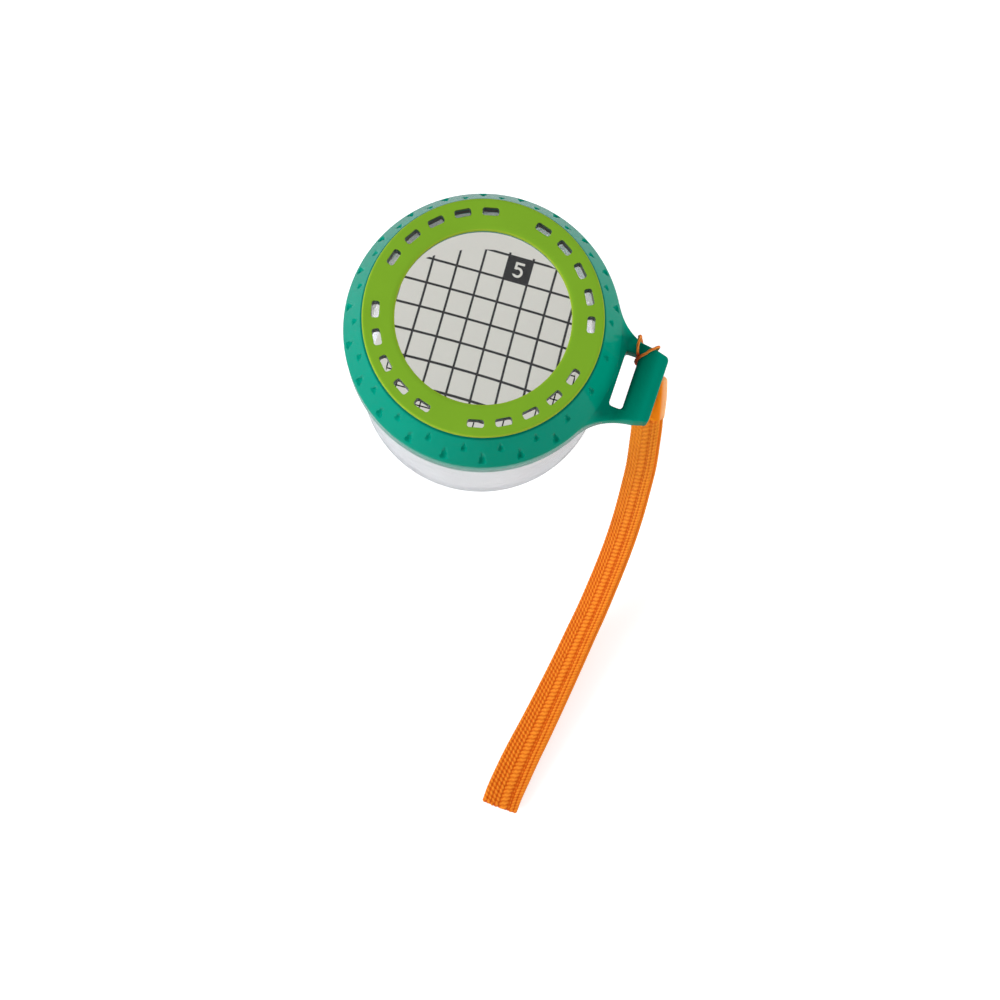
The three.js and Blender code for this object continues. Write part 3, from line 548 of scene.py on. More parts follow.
def lid_surface():
    """Lid: a turned shell with dimples pressed into its cone and a thread inside its sleeve, and a vented
    plate. The mask is below 0, a shade, along the seam under the ring and over the lug's root."""
    surface = Surface()
    plate_outer = cone_radius(PLATE_BOTTOM) - CONE_WALL
    plate = (BOSS_RADIUS, plate_outer, PLATE_BOTTOM, LID_TOP)
    add_vented_ring(surface, *plate, PLATE_EDGE, PEG_RADIUS + PEG_GAP)
    seat = [(BOSS_RADIUS, LID_TOP), (POCKET_RADIUS, LID_TOP), (POCKET_RADIUS, LEDGE_TOP)]
    seat += [(LEDGE_BORE, LEDGE_TOP), (LEDGE_BORE, LEDGE_BOTTOM), (BOSS_RADIUS, LEDGE_BOTTOM)]
    surface.turn(seat + [(BOSS_RADIUS, PLATE_BOTTOM)])
    rise = (LID_TOP - BAND_TOP) / (BAND_RADIUS - LID_TOP_RADIUS)
    sleeve_top = BAND_TOP + rise * (BAND_RADIUS - SLEEVE_BORE - CONE_WALL)
    gap_top = BAND_TOP + rise * (BAND_RADIUS - SLEEVE_RADIUS - CONE_WALL) - (BAND_RADIUS - BAND_INNER)
    surface.turn([(plate_outer, PLATE_BOTTOM), (SLEEVE_BORE, sleeve_top)])
    bore = dense([(SLEEVE_BORE, sleeve_top), (SLEEVE_BORE, SLEEVE_BOTTOM + LID_ROUND)], BORE_STEP)
    surface.grid(threaded(bore, FEMALE_WIDTH, FEMALE_START, -1))
    skirt = [(SLEEVE_BORE, SLEEVE_BOTTOM + LID_ROUND), (SLEEVE_BORE + LID_ROUND, SLEEVE_BOTTOM)]
    skirt += [(SLEEVE_RADIUS, SLEEVE_BOTTOM), (SLEEVE_RADIUS, gap_top), (SLEEVE_RADIUS + LID_ROUND, gap_top)]
    surface.turn(skirt + [(BAND_INNER, BAND_TOP - LID_ROUND), (BAND_INNER, BAND_BOTTOM)])
    band = [(BAND_INNER, BAND_BOTTOM)]
    band += arc(BAND_RADIUS - LID_ROUND, BAND_BOTTOM + LID_ROUND, LID_ROUND, -90, 0, ROUND_ROWS)
    surface.turn(band + [(BAND_RADIUS, BAND_TOP - down) for down in BAND_ROWS])
    low, high = BAND_TOP - BAND_ROWS[-1], BAND_TOP + BAND_ROWS[-1]
    tip, flat = LID_TOP - LID_ROUND, LID_TOP_RADIUS - LID_ROUND
    shoulder = bent((BAND_RADIUS, low), (BAND_RADIUS, BAND_TOP), (cone_radius(high), high), BEND_ROWS)
    crest = bent((cone_radius(tip), tip), (LID_TOP_RADIUS, LID_TOP), (flat, LID_TOP), BEND_ROWS)
    cone = np.vstack([shoulder[:-1], dense([shoulder[-1], crest[0]], CONE_STEP), crest[1:]])
    points, angle = turned(cone)
    slope = math.atan2(BAND_RADIUS - LID_TOP_RADIUS, LID_TOP - BAND_TOP)
    distance = (LID_TOP - points[..., 2]) / math.cos(slope)
    depth = dimple_depth(distance, np.linalg.norm(points[..., :2], axis=-1), angle)
    points = pushed_out(points, angle, -depth * math.cos(slope))
    x, y, z = np.moveaxis(points, -1, 0)
    seam = SEAM_SHADE * ramp(z, *SEAM_RUN)
    root = ROOT_SHADE * ramp(z, *ROOT_RUN) ** ROOT_POWER * ramp(np.abs(y), *ROOT_SIDES) * (x > 0)
    points[..., 2] -= depth * math.sin(slope)
    surface.grid(points, -np.maximum(seam, root))
    return surface.turn([(flat, LID_TOP), (plate_outer, LID_TOP)])


def lug_top(x, y):
    """Height of the lug's top over the lid's lower edge: the highest, softly joined, of the bar's round back,
    a parabola across it, of a level web, and of a curve that leaves the band as steeply as the cone and
    levels out; inside the band it bends down below the cone."""
    bar = BAR_CREST - BAR_CURVE * (x - BAR_CREST_X) ** 2
    away = np.hypot(x, y) - BAND_RADIUS
    inside, outside = np.minimum(away, 0), np.maximum(away, 0)
    root = SLOT_TOP + ROOT_LIFT + ROOT_RISE * np.exp(-ROOT_FADE * outside)
    root = root - ROOT_SLOPE * inside - ROOT_SINK * inside**2
    heights = np.stack([bar, root, np.full_like(root, SLOT_TOP)])
    top = heights.max(axis=0)
    return top + TOP_SOFTNESS * np.log(np.exp((heights - top) / TOP_SOFTNESS).sum(axis=0)) - TOP_DROP


def lug_outline():
    """Outline of the lug's plan: an arc inside the band, concave flares, arms and a round-cornered bar."""
    band = polar(np.linspace(math.radians(FLARE_ANGLE), 0, ROOT_ROWS))
    straight = BAR_HALF - BAR_CORNER

    def half(arm, spread):
        """One side of the outline, from the bar's outer face to the band."""
        return np.vstack([
            [(LUG_REACH, 0.0), (LUG_REACH, straight)],
            bent((LUG_REACH, straight), (LUG_REACH, BAR_HALF), (LUG_REACH - BAR_CORNER, BAR_HALF), BAR_ROWS),
            bent((ARM_X, BAR_HALF + arm), (FLARE_X, BAR_HALF + spread), BAND_RADIUS * band[0], FLARE_ROWS),
            (BAND_RADIUS - LUG_OVERLAP) * band,
        ])

    return np.vstack([half(*UPPER_FLARE), half(*LOWER_FLARE)[-2::-1] * (1, -1)])


def lug_surface():
    """Strap lug: loops between the slot's outline and the lug's, both met on the same rays from the slot's
    middle, carried up the slot's wall, over the top, down the outer wall and back underneath, then turned a
    little. The mask is below 0, a shade, towards the lid, along the slot's edge of the bar and past the bar's
    crest."""
    middle = np.array(((SLOT_INNER + SLOT_OUTER) / 2, 0.0))
    walk = square_walk()

    def slot_outline(margin, count):
        """Outline of the slot about its middle, grown by a margin, with count points at equal distances."""
        width, length = SLOT_OUTER - SLOT_INNER + 2 * margin, SLOT_LENGTH + 2 * margin
        outline = rounded_outline(*walk, width, length, SLOT_CORNER + margin)
        return spaced(np.vstack([outline, outline[:1]]), count)

    guide = slot_outline(LUG_GUIDE, LUG_COLUMNS + 1)[:-1]
    ray = np.arctan2(guide[:, 1], guide[:, 0])

    def met(outline):
        """Distance at which each ray meets an outline, read between the outline's points by their angles."""
        angle = np.arctan2(outline[:, 1], outline[:, 0])
        order = np.argsort(angle)
        return np.interp(ray, angle[order], np.linalg.norm(outline, axis=1)[order], period=2 * math.pi)

    near, far = met(slot_outline(0, SLOT_POINTS)), met(spaced(lug_outline() - middle, LUG_POINTS))
    way, turn = polar(ray), turn_matrix(math.radians(LUG_TURN))
    first, last = near + SLOT_EDGE, far - LUG_EDGE
    rows = [(near, None, BAND_BOTTOM), (near, SLOT_EDGE, None)]
    rows += [(near + SLOT_EDGE * EASED, SLOT_EDGE * EASED, None)]
    rows += [(first + (last - first) * share, 0.0, None) for share in np.linspace(0, 1, LUG_ROWS)]
    rows += [(far - LUG_EDGE * EASED, LUG_EDGE * EASED, None), (far, LUG_EDGE, None)]
    rows += [(far, None, BAND_BOTTOM + LUG_FOOT), (far - LUG_FOOT, None, BAND_BOTTOM)]
    loops, masks = [], []
    for reach, sunk, height in rows:
        plan = middle + way * reach[:, None]
        x, side = plan[:, 0], np.abs(plan[:, 1])
        shade = ARM_SHADE * sum(ramp(x, *run) for run in ARM_RUNS)
        shade *= ramp(side, *ARM_SIDES) * ramp(far - reach, *ARM_MARGIN)
        shade += BAR_SHADE * ramp(x, *BAR_RUN) * (x > BAR_START) * (side < BAR_SIDE)
        masks.append(-shade - CREST_SHADE * ramp(x, *CREST_RUN))
        level = height if sunk is None else BAND_BOTTOM + lug_top(*plan.T) - sunk
        loops.append(raised(plan @ turn, level))
    return Surface().grid(np.stack(loops), np.stack(masks), closed=True, flip=True)


def strap_axes(line):
    """Directions of the strap along its middle line: along, across and off its face. Across starts level,
    leans by the tilt, and comes level again towards the fold."""
    along = unit(np.gradient(line, axis=0))
    level = unit(np.cross((0.0, 0.0, 1.0), along))
    face = np.cross(along, level)
    share = np.linspace(0, 1, len(line))[:, None]
    tilt = np.radians(STRAP_TILT) * (1 - share**STRAP_UNTWIST)
    across = level * np.cos(tilt) + face * np.sin(tilt)
    return along, across, np.cross(along, across)


def braid_profile(side, distance, stitch):
    """Lift and hollow of the braid, with side from -1 to 1 and distance in millimetres. Round ribs of given
    widths lie across it. The narrow ribs are cut into slanting beads, the wide one into strokes bent like an
    S and the last two into fine strokes, past a sunk one; the hollow, a painted shade, is deepest in the
    grooves between ribs."""
    share = (side + 1) / 2
    edges = np.append(0.0, RIBS[:, 0])
    rib = np.clip(np.searchsorted(edges, share, side="right") - 1, 0, len(RIBS) - 1)
    within = (share - edges[rib]) / (edges[rib + 1] - edges[rib]) - 0.5
    slant, wave, pace, roundness, deep, beaded, sink = (column[rib] for column in RIBS.T[1:])
    bend = slant * within + wave * np.sin(4 * math.pi * within)
    phase = pace * distance / stitch + bend + RIB_OFFSET * rib
    bead = 0.5 + 0.5 * np.cos(2 * math.pi * phase)
    outermost = ((rib == 0) & (within < 0)) | ((rib == len(RIBS) - 1) & (within > 0))
    crown = np.where(outermost, 1.0, np.cos(math.pi * within) ** roundness)
    groove = 1 - crown
    lift = -deep * groove - beaded * (1 - bead) * crown**0.5 - sink
    between = (1 - bead) ** SHADE_POWER * beaded / USUAL_BEAD * (BEAD_SHADE + BEAD_GROOVE_SHADE * groove)
    return lift, np.clip(GROOVE_SHADE * groove**SHADE_POWER + between + SINK_SHADE * sink, 0, 1)


def strap_surface(stitch):
    """Wrist strap: a flat section carried down one layer, round the fold and back up the other. The outer
    face has the braid's lift and thins to a round edge. The mask is the braid's hollow, a painted shade,
    which is painted lighter near the ferrule, most on the left side, and darker away from it, as painted
    light and shade along the strap."""
    line = smooth_route(np.array(STRAP_ROUTE) / MM, STRAP_ROWS)
    along, across, off = strap_axes(line)
    line = np.vstack([line[:1] - along[:1] * STRAP_TUCK, line[1:]])
    lift = (STRAP_LAYER + STRAP_GAP) / 2
    coarse = np.append(np.arange(0, STRAP_ROWS - 1, STRAP_LOWER_STEP), STRAP_ROWS - 1)
    bend = np.linspace(-math.pi / 2, math.pi / 2, FOLD_ROWS + 2)[1:-1, None]
    fold_way = along[-1] * np.cos(bend) + off[-1] * np.sin(bend)
    centre = np.vstack([(line - off * lift)[coarse], line[-1] + fold_way * lift, (line + off * lift)[::-1]])
    outward = np.vstack([-off[coarse], fold_way, off[::-1]])
    sideways = np.vstack([across[coarse], np.repeat(across[-1:], FOLD_ROWS, axis=0), across[::-1]])
    distance = run_length(centre)[:, None]
    even = np.linspace(-1, 1, STRAP_OUTER_COLUMNS)[None, :]
    outer = STRAP_SPREAD[0] * even + STRAP_SPREAD[1] * np.sin(math.pi / 2 * even)
    inner = np.sin(math.pi / 2 * np.linspace(1, -1, STRAP_INNER_COLUMNS))[None, 1:-1]
    rise, hollow = braid_profile(outer + 0 * distance, distance, stitch)
    # Painted light near the ferrule, most on the left side, and painted shade further down the strap
    away = ramp(np.minimum(distance, distance[-1] - distance), 0, PAINTED_LIGHT_RUN)
    paler, paler_left, darker = PAINTED_LIGHT_SHADE
    hollow = hollow * (1 - (1 - away) * (paler + paler_left * ramp(outer, *PAINTED_LIGHT_SIDE))) + darker * away
    round_edge = np.sqrt(np.maximum(1 - np.abs(outer) ** FACE_EDGE, 0))
    thick = (STRAP_LAYER / 2 + FACE_SWELL) * round_edge + rise * np.minimum(round_edge * FACE_EDGE_LIFT, 1)
    thin = -(STRAP_LAYER / 2 + BACK_SWELL) * np.sqrt(np.maximum(1 - np.abs(inner) ** BACK_EDGE, 0))
    thin = thin + 0 * distance
    wide = np.concatenate([outer + 0 * distance, inner + 0 * distance], axis=1) * STRAP_WIDTH / 2
    high = np.concatenate([thick, thin], axis=1)
    points = centre[:, None] + sideways[:, None] * wide[..., None] + outward[:, None] * high[..., None]
    masks = np.concatenate([hollow, np.full(thin.shape, BACK_SHADE)], axis=1)
    return Surface().grid(capped(points), np.pad(masks, ((1, 1), (0, 0)), "edge"))


def carried_frames(line):
    """Two directions square to a line at each of its points, the first one also square to a guide at the
    start, carried along the line with the least twist."""
    along = unit(np.gradient(line, axis=0))
    sides = [unit(np.cross(along[0], CORD_GUIDE))]
    for way in along[1:]:
        sides.append(unit(sides[-1] - way * np.dot(sides[-1], way)))
    return np.array(sides), np.cross(along, sides)


def cord_surface():
    """Thin cord: a round section of three strands, lobes that turn along the line as the strands are twisted,
    thicker where it is drawn tight in the slot. The mask is a painted shade: the hollow between strands,
    and high where the cord lies in the slot."""
    line = smooth_route(np.array(CORD_ROUTE) / MM, CORD_ROWS)
    starts, ends = unit(line[0] - line[1]), unit(line[-1] - line[-2])
    line = np.vstack([line[:1] + starts * CORD_TUCK, line, line[-1:] + ends * CORD_TUCK])
    side, up = carried_frames(line)
    x, y, z = line.T[..., None]
    angle = 2 * math.pi * np.arange(CORD_COLUMNS)[None, :] / CORD_COLUMNS
    twist = 2 * math.pi * run_length(line)[:, None] / CORD_LAY / CORD_STRANDS
    lobe = np.abs(np.cos(CORD_STRANDS / 2 * (angle - twist))) ** LOBE_POWER
    knot = ramp(x, *KNOT_RUN) * ramp(np.abs(z - KNOT_HEIGHT), *KNOT_REACH)
    radius = CORD_RADIUS * (CORD_CORE + CORD_LOBE * lobe) * (1 + CORD_SWELL * knot)
    points = line[:, None] + side[:, None] * (radius * np.cos(angle))[..., None]
    points = points + up[:, None] * (radius * np.sin(angle))[..., None]
    # Painted shade on the cord where it lies in the slot
    tight = ramp(x, *CORD_SLOT_X) * ramp(y, *CORD_SLOT_Y) * ramp(z, *CORD_SLOT_TOP) * ramp(z, *CORD_SLOT_FOOT)
    hollow = np.maximum(1 - lobe, CORD_SLOT_SHADE * tight)
    return Surface().grid(capped(points), np.pad(hollow, ((1, 1), (0, 0)), "edge"))


def ferrule_surface():
    """Ferrule: a round-cornered section carried along the strap's direction, drawn in at both ends on a round
    bevel and slightly swollen between them, closed at its ends. The mask rises on the outer side, beyond the
    braid inside."""
    line = smooth_route(np.array(STRAP_ROUTE) / MM, FERRULE_ROUTE_ROWS)
    along, across, off = (axis[0] for axis in strap_axes(line))
    x, y = square_walk()
    bevel = np.linspace(0, math.pi / 2, FERRULE_BEVEL_ROWS)
    ends = [(FERRULE_BEVEL * (1 - math.sin(a)), FERRULE_BEVEL * (1 - math.cos(a))) for a in bevel]
    body = [(0.0, FERRULE_LENGTH * share) for share in FERRULE_SHARES]
    loops = []
    for inset, at in ends + body + [(inset, FERRULE_LENGTH - at) for inset, at in ends[::-1]]:
        grow = 2 * (FERRULE_SWELL * math.sin(math.pi * at / FERRULE_LENGTH) - inset)
        local = rounded_outline(x, y, FERRULE_WIDTH + grow, FERRULE_DEPTH + grow, FERRULE_CORNER - inset)
        back = at - FERRULE_LENGTH - FERRULE_GAP
        loops.append(line[0] + along * back + local[:, :1] * across + local[:, 1:] * off)
    points = capped(np.stack(loops))
    outward = points @ np.array(FERRULE_OUTWARD)
    outward = outward - outward.mean(axis=1, keepdims=True)
    share = outward / np.maximum(outward.max(axis=1, keepdims=True), TINY)
    return Surface().grid(points, ramp(share, *FERRULE_SIDE_RUN))


def ring_surface():
    """Vent ring: a vented flat ring with pegs below, and a turned round edge inside and outside, where the
    mask rises to a painted highlight."""
    surface = Surface()
    flat_inner, flat_outer = RING_INNER + RING_ROLL, RING_OUTER - RING_OUTER_ROUND
    vented = (flat_inner, flat_outer, RING_BOTTOM, RING_TOP)
    add_vented_ring(surface, *vented, RING_VENT_EDGE, PEG_RADIUS, PEG_DROP)
    roll = arc(0, 0, 1, 90, 180, RING_ROWS[0])
    inside = [(flat_inner + RING_ROLL * x, RING_TOP - RING_DROP * (1 - y)) for x, y in roll]
    inside += [(RING_INNER, RING_BOTTOM), (flat_inner, RING_BOTTOM)]
    # The mask rises to a painted highlight on the round edges
    surface.turn(inside, ramp(np.array(inside)[:, :1], RING_INNER + RING_EDGE, RING_INNER))
    outside = [(flat_outer, RING_BOTTOM), (RING_OUTER, RING_BOTTOM)]
    outside += arc(flat_outer, RING_TOP - RING_OUTER_ROUND, RING_OUTER_ROUND, 0, 90, RING_ROWS[1])
    return surface.turn(outside, ramp(np.array(outside)[:, :1], RING_OUTER - RING_EDGE, RING_OUTER))


def lens_surface():
    """Lens: two like domes, arcs of a circle turned about the axis, with a flat lip and a straight edge."""
    half = math.degrees(math.asin(LENS_DOME / LENS_CURVE))
    drop = LENS_CURVE * math.cos(math.radians(half))
    profile = arc(0, LENS_BOTTOM + drop, LENS_CURVE, -90, half - 90, LENS_ROWS)
    profile += [(LENS_RADIUS, LENS_BOTTOM), (LENS_RADIUS, LENS_TOP)]
    profile += arc(0, LENS_TOP - drop, LENS_CURVE, 90 - half, 90, LENS_ROWS)
    for k in (0, -1):
        profile[k] = (0.0, profile[k][1])
    return Surface().turn(profile, columns=LENS_COLUMNS, start=0.0)


def jar_surface():
    """Jar: a turned wall with a floor, a shoulder and a neck, and the thread's ridges raised on the neck."""
    surface, turning = Surface(), {"columns": JAR_COLUMNS, "start": 0.0}
    inside, neck_inside, under = JAR_RADIUS - JAR_WALL, NECK_RADIUS - NECK_WALL, SHOULDER - JAR_WALL
    outer = [(0.0, 0.0)] + arc(JAR_RADIUS - JAR_HEEL, JAR_HEEL, JAR_HEEL, -90, 0, HEEL_ROWS)
    outer += arc(JAR_RADIUS - SHOULDER_ROUND, SHOULDER - SHOULDER_ROUND, SHOULDER_ROUND, 0, 90, ROUND_ROWS)
    surface.turn(dense(outer + [(NECK_RADIUS, SHOULDER)], JAR_STEP), **turning)
    neck = dense([(NECK_RADIUS, SHOULDER), (NECK_RADIUS, NECK_TOP - NECK_LIP)], NECK_STEP)
    surface.grid(threaded(neck, MALE_WIDTH, MALE_START, 1, **turning))
    inner = arc(NECK_RADIUS - NECK_LIP, NECK_TOP - NECK_LIP, NECK_LIP, 0, 90, ROUND_ROWS)
    inner += arc(neck_inside + NECK_LIP, NECK_TOP - NECK_LIP, NECK_LIP, 90, 180, ROUND_ROWS)
    inner += [(neck_inside, under)]
    inner += arc(inside - SHOULDER_ROUND, under - SHOULDER_ROUND, SHOULDER_ROUND, 90, 0, ROUND_ROWS)
    inner += arc(inside - JAR_HEEL, JAR_FLOOR + JAR_HEEL, JAR_HEEL, 0, -90, HEEL_ROWS) + [(0.0, JAR_FLOOR)]
    return surface.turn(dense(inner, JAR_STEP), **turning)


def card_surface():
    """Grid card: a turned thin disc with a slightly round edge."""
    edge = (CARD_TOP - CARD_BOTTOM) / 2
    profile = [(0.0, CARD_BOTTOM)] + arc(CARD_RADIUS - edge, CARD_BOTTOM + edge, edge, -90, 90, HEEL_ROWS)
    return Surface().turn(dense(profile + [(0.0, CARD_TOP)], CARD_STEP), columns=CARD_COLUMNS, start=0.0)


class Nodes:
    """Node tree with short ways to add nodes. A value is a number, a colour or another node's output."""

    def __init__(self, tree):
        self.tree = tree

    def feed(self, node, values):
        """Sets or links a node's named or numbered inputs."""
        for key, value in values.items():
            if isinstance(value, bpy.types.NodeSocket):
                self.tree.links.new(value, node.inputs[key])
            else:
                node.inputs[key].default_value = value

    def add(self, kind, values=None, **settings):
        """Outputs of a new node with settings and values."""
        node = self.tree.nodes.new("ShaderNode" + kind)
        for key, value in settings.items():
            setattr(node, key, value)
        self.feed(node, values or {})
        return node.outputs

    def maths(self, operation, *values, clamp=False):
        """Output of a Math node."""
        return self.add("Math", dict(enumerate(values)), operation=operation, use_clamp=clamp)[0]

    def times(self, first, second):
        """Product of two values."""
        return self.maths("MULTIPLY", first, second)

    def larger(self, first, second):
        """Larger of two values."""
        return self.maths("MAXIMUM", first, second)

    def without(self, mask):
        """What a mask leaves of 1."""
        return self.maths("SUBTRACT", 1.0, mask)

    def varied(self, value, amount, base, clamp=False):
        """A base that a noise value moves either way by up to half an amount."""
        return self.maths("MULTIPLY_ADD", self.maths("SUBTRACT", value, 0.5), amount, base, clamp=clamp)

    def between(self, value, low, high):
        """1 where a value lies between two limits, else 0."""
        return self.times(self.maths("GREATER_THAN", value, low), self.maths("LESS_THAN", value, high))

    def inside(self, x, y, low_x, high_x, low_y, high_y):
        """1 inside a rectangle, else 0."""
        return self.times(self.between(x, low_x, high_x), self.between(y, low_y, high_y))

    def mixed(self, factor, first, second, blend_type="MIX"):
        """Output of a colour Mix node."""
        return self.add("Mix", {0: factor, 6: first, 7: second}, data_type="RGBA", blend_type=blend_type)[2]

    def shaded(self, colour, shade):
        """Colour times a grey shade."""
        grey = self.add("CombineColor", {0: shade, 1: shade, 2: shade})[0]
        return self.mixed(1.0, colour, grey, "MULTIPLY")

    def ranged(self, value, low, high, to_low=0.0, to_high=1.0):
        """Output of a smooth Map Range node."""
        values = {0: value, 1: low, 2: high, 3: to_low, 4: to_high}
        return self.add("MapRange", values, interpolation_type="SMOOTHSTEP")[0]

    def noise(self, place, scale, detail=2.0, roughness=0.5):
        """Value of a noise texture."""
        values = {"Vector": place, "Scale": scale, "Detail": detail, "Roughness": roughness}
        return self.add("TexNoise", values)[0]

    def place(self):
        """Object coordinates."""
        return self.add("TexCoord")["Object"]

    def length(self, vector):
        """Length of a vector."""
        return self.add("VectorMath", {0: vector}, operation="LENGTH")["Value"]

    def mask(self, name):
        """Value of a mesh attribute."""
        return self.add("Attribute", attribute_name=name, attribute_type="GEOMETRY")["Fac"]

    def bump(self, height, strength, distance):
        """Normal from a height."""
        return self.add("Bump", {"Height": height, "Strength": strength, "Distance": distance})[0]

    def group(self, build, values):
        """Outputs of a placed node group, which its function builds the first time."""
        name = build.__name__
        return self.add("Group", values, node_tree=bpy.data.node_groups.get(name) or build(name))

    def ray_masks(self):
        """Two masks: rays from the camera or through clear surfaces, and rays mirrored by a surface."""
        path = self.add("LightPath")
        seen = self.larger(path["Is Camera Ray"], path["Is Transmission Ray"])
        return seen, self.times(path["Is Glossy Ray"], self.without(seen))


def new_group(name, inputs, outputs):
    """Nodes, inputs and output node of a new shader group, where names that end in Colour are colours."""
    tree = bpy.data.node_groups.new(name, "ShaderNodeTree")
    for way, labels in (("INPUT", inputs), ("OUTPUT", outputs)):
        for label in labels:
            kind = "NodeSocketColor" if label.endswith("Colour") else "NodeSocketFloat"
            tree.interface.new_socket(name=label, in_out=way, socket_type=kind)
    return Nodes(tree), tree.nodes.new("NodeGroupInput").outputs, tree.nodes.new("NodeGroupOutput")


def moulded_skin(name):
    """Group for moulded plastic: cloudy tint; lighter rims where the mask is above 0, on the vent ring a
    painted highlight along its round edges and on the ferrule its paler side beside the braid; a painted
    shade, near black, where the mask is below 0, in the vents and on the lid's seam and lug; uneven gloss
    and a fine grain.
    """
    inputs = ("Colour", "Rim Colour", "Rim", "Roughness", "Cloud")
    nodes, given, wanted = new_group(name, inputs, ("Colour", "Roughness", "Height"))
    place = nodes.place()
    cloud = nodes.noise(place, CLOUD_SCALE, detail=3.0)
    grain, flow = nodes.noise(place, GRAIN_SCALE), nodes.noise(place, FLOW_SCALE)
    shade = nodes.varied(cloud, given["Cloud"], 1.0)
    shade = nodes.varied(grain, nodes.times(given["Cloud"], GRAIN_SHADE), shade)
    tinted = nodes.shaded(given["Colour"], shade)
    # Lighter rims: on the vent ring a painted highlight along its round edges, on the ferrule its paler side
    # beside the braid
    rimmed = nodes.mixed(nodes.larger(given["Rim"], 0.0), tinted, given["Rim Colour"])
    # Painted shade: a mask below 0 takes the colour towards near black
    sunk = nodes.times(nodes.larger(nodes.times(given["Rim"], -1.0), 0.0), PAINTED_SHADE_STRENGTH)
    nodes.feed(wanted, {
        "Colour": nodes.mixed(sunk, rimmed, PAINTED_SHADE_COLOUR),
        "Roughness": nodes.varied(grain, GRAIN_GLOSS, nodes.varied(flow, FLOW_GLOSS, given["Roughness"])),
        "Height": nodes.maths("ADD", grain, nodes.times(flow, FLOW_HEIGHT)),
    })
    return nodes.tree


def spun_fibre(name):
    """Group for braid and cord: strand tops, a painted shade in the hollows, fine filaments and uneven dye.
    """
    inputs = ("Top Colour", "Hollow Colour", "Hollow")
    nodes, given, wanted = new_group(name, inputs, ("Colour", "Roughness", "Height"))
    place = nodes.place()
    filament = nodes.noise(place, FILAMENT_SCALE, detail=3.0, roughness=0.7)
    dye = nodes.noise(place, DYE_SCALE)
    # How far the colour goes towards the hollow colour, a painted shade, moved at random by the filaments and
    # the dye
    depth = nodes.varied(filament, FILAMENT_DEPTH, given["Hollow"], clamp=True)
    depth = nodes.varied(dye, DYE_DEPTH, depth, clamp=True)
    nodes.feed(wanted, {
        "Colour": nodes.mixed(depth, given["Top Colour"], given["Hollow Colour"]),
        "Roughness": nodes.maths("MULTIPLY_ADD", filament, *FIBRE_GLOSS),
        "Height": filament,
    })
    return nodes.tree


def handling_haze(name):
    """Group for clear plastic: a base roughness with faint cloudy smears, and soft waves of the moulding."""
    nodes, given, wanted = new_group(name, ("Roughness", "Smear"), ("Roughness", "Height"))
    place = nodes.place()
    smear = nodes.ranged(nodes.noise(place, SMEAR_SCALE, detail=4.0, roughness=0.6), *SMEAR_RUN)
    nodes.feed(wanted, {
        "Roughness": nodes.maths("MULTIPLY_ADD", smear, given["Smear"], given["Roughness"]),
        "Height": nodes.noise(place, WAVE_SCALE, detail=1.0),
    })
    return nodes.tree


def new_material(name):
    """Empty material with its nodes, its Principled shader and its output."""
    material = bpy.data.materials.new(name)
    material.use_nodes = True
    tree = material.node_tree
    tree.nodes.clear()
    output = tree.nodes.new("ShaderNodeOutputMaterial")
    shader = tree.nodes.new("ShaderNodeBsdfPrincipled")
    tree.links.new(shader.outputs[0], output.inputs[0])
    return material, Nodes(tree), shader, output


def opaque(colour):
    """Colour setting with full alpha."""
    return (*colour, 1.0)


def plastic_material(name, colour, rim_colour, roughness, cloud=0.12, rim_share=1.0, finish=None):
    """Coloured moulded plastic; finish holds further values for its shader."""
    material, nodes, shader, _ = new_material(name)
    skin = nodes.group(moulded_skin, {
        "Colour": opaque(colour), "Rim Colour": opaque(rim_colour),
        "Rim": nodes.times(nodes.mask("rim"), rim_share), "Roughness": roughness, "Cloud": cloud,
    })
    nodes.feed(shader, {
        "Base Color": skin["Colour"], "Roughness": skin["Roughness"], "Specular IOR Level": PLASTIC_SPECULAR,
        "Normal": nodes.bump(skin["Height"], strength=0.25, distance=0.00004), **(finish or {}),
    })
    return material


def fibre_material(name, top, hollow):
    """Orange fibre with a soft sheen; its hollow colour is a painted shade."""
    material, nodes, shader, _ = new_material(name)
    spun = nodes.group(spun_fibre, {
        "Top Colour": opaque(top), "Hollow Colour": opaque(hollow), "Hollow": nodes.mask("hollow"),
    })
    nodes.feed(shader, {
        "Base Color": spun["Colour"], "Roughness": spun["Roughness"], "Sheen Weight": FIBRE_SHEEN,
        "Specular IOR Level": MATT_SPECULAR,
        "Normal": nodes.bump(spun["Height"], strength=0.5, distance=0.0001),
    })
    return material


def clear_material(name, tint, through, roughness, clearness=1.0, smear=0.0, wave=0.0):
    """Clear plastic. Rays from lamps and from matt surfaces go straight through it, so that what is behind it
    is lit."""
    material, nodes, shader, output = new_material(name)
    haze = nodes.group(handling_haze, {"Roughness": roughness, "Smear": smear})
    nodes.feed(shader, {
        "Base Color": opaque(tint), "Transmission Weight": clearness, "IOR": CLEAR_INDEX,
        "Roughness": haze["Roughness"],
    })
    if wave > 0:
        nodes.feed(shader, {"Normal": nodes.bump(haze["Height"], strength=wave, distance=0.0004)})
    path = nodes.add("LightPath")
    passing = nodes.larger(path["Is Shadow Ray"], path["Is Diffuse Ray"])
    open_way = nodes.add("BsdfTransparent", {"Color": opaque(through)})[0]
    nodes.feed(output, {0: nodes.add("MixShader", {0: passing, 1: shader.outputs[0], 2: open_way})[0]})
    return material


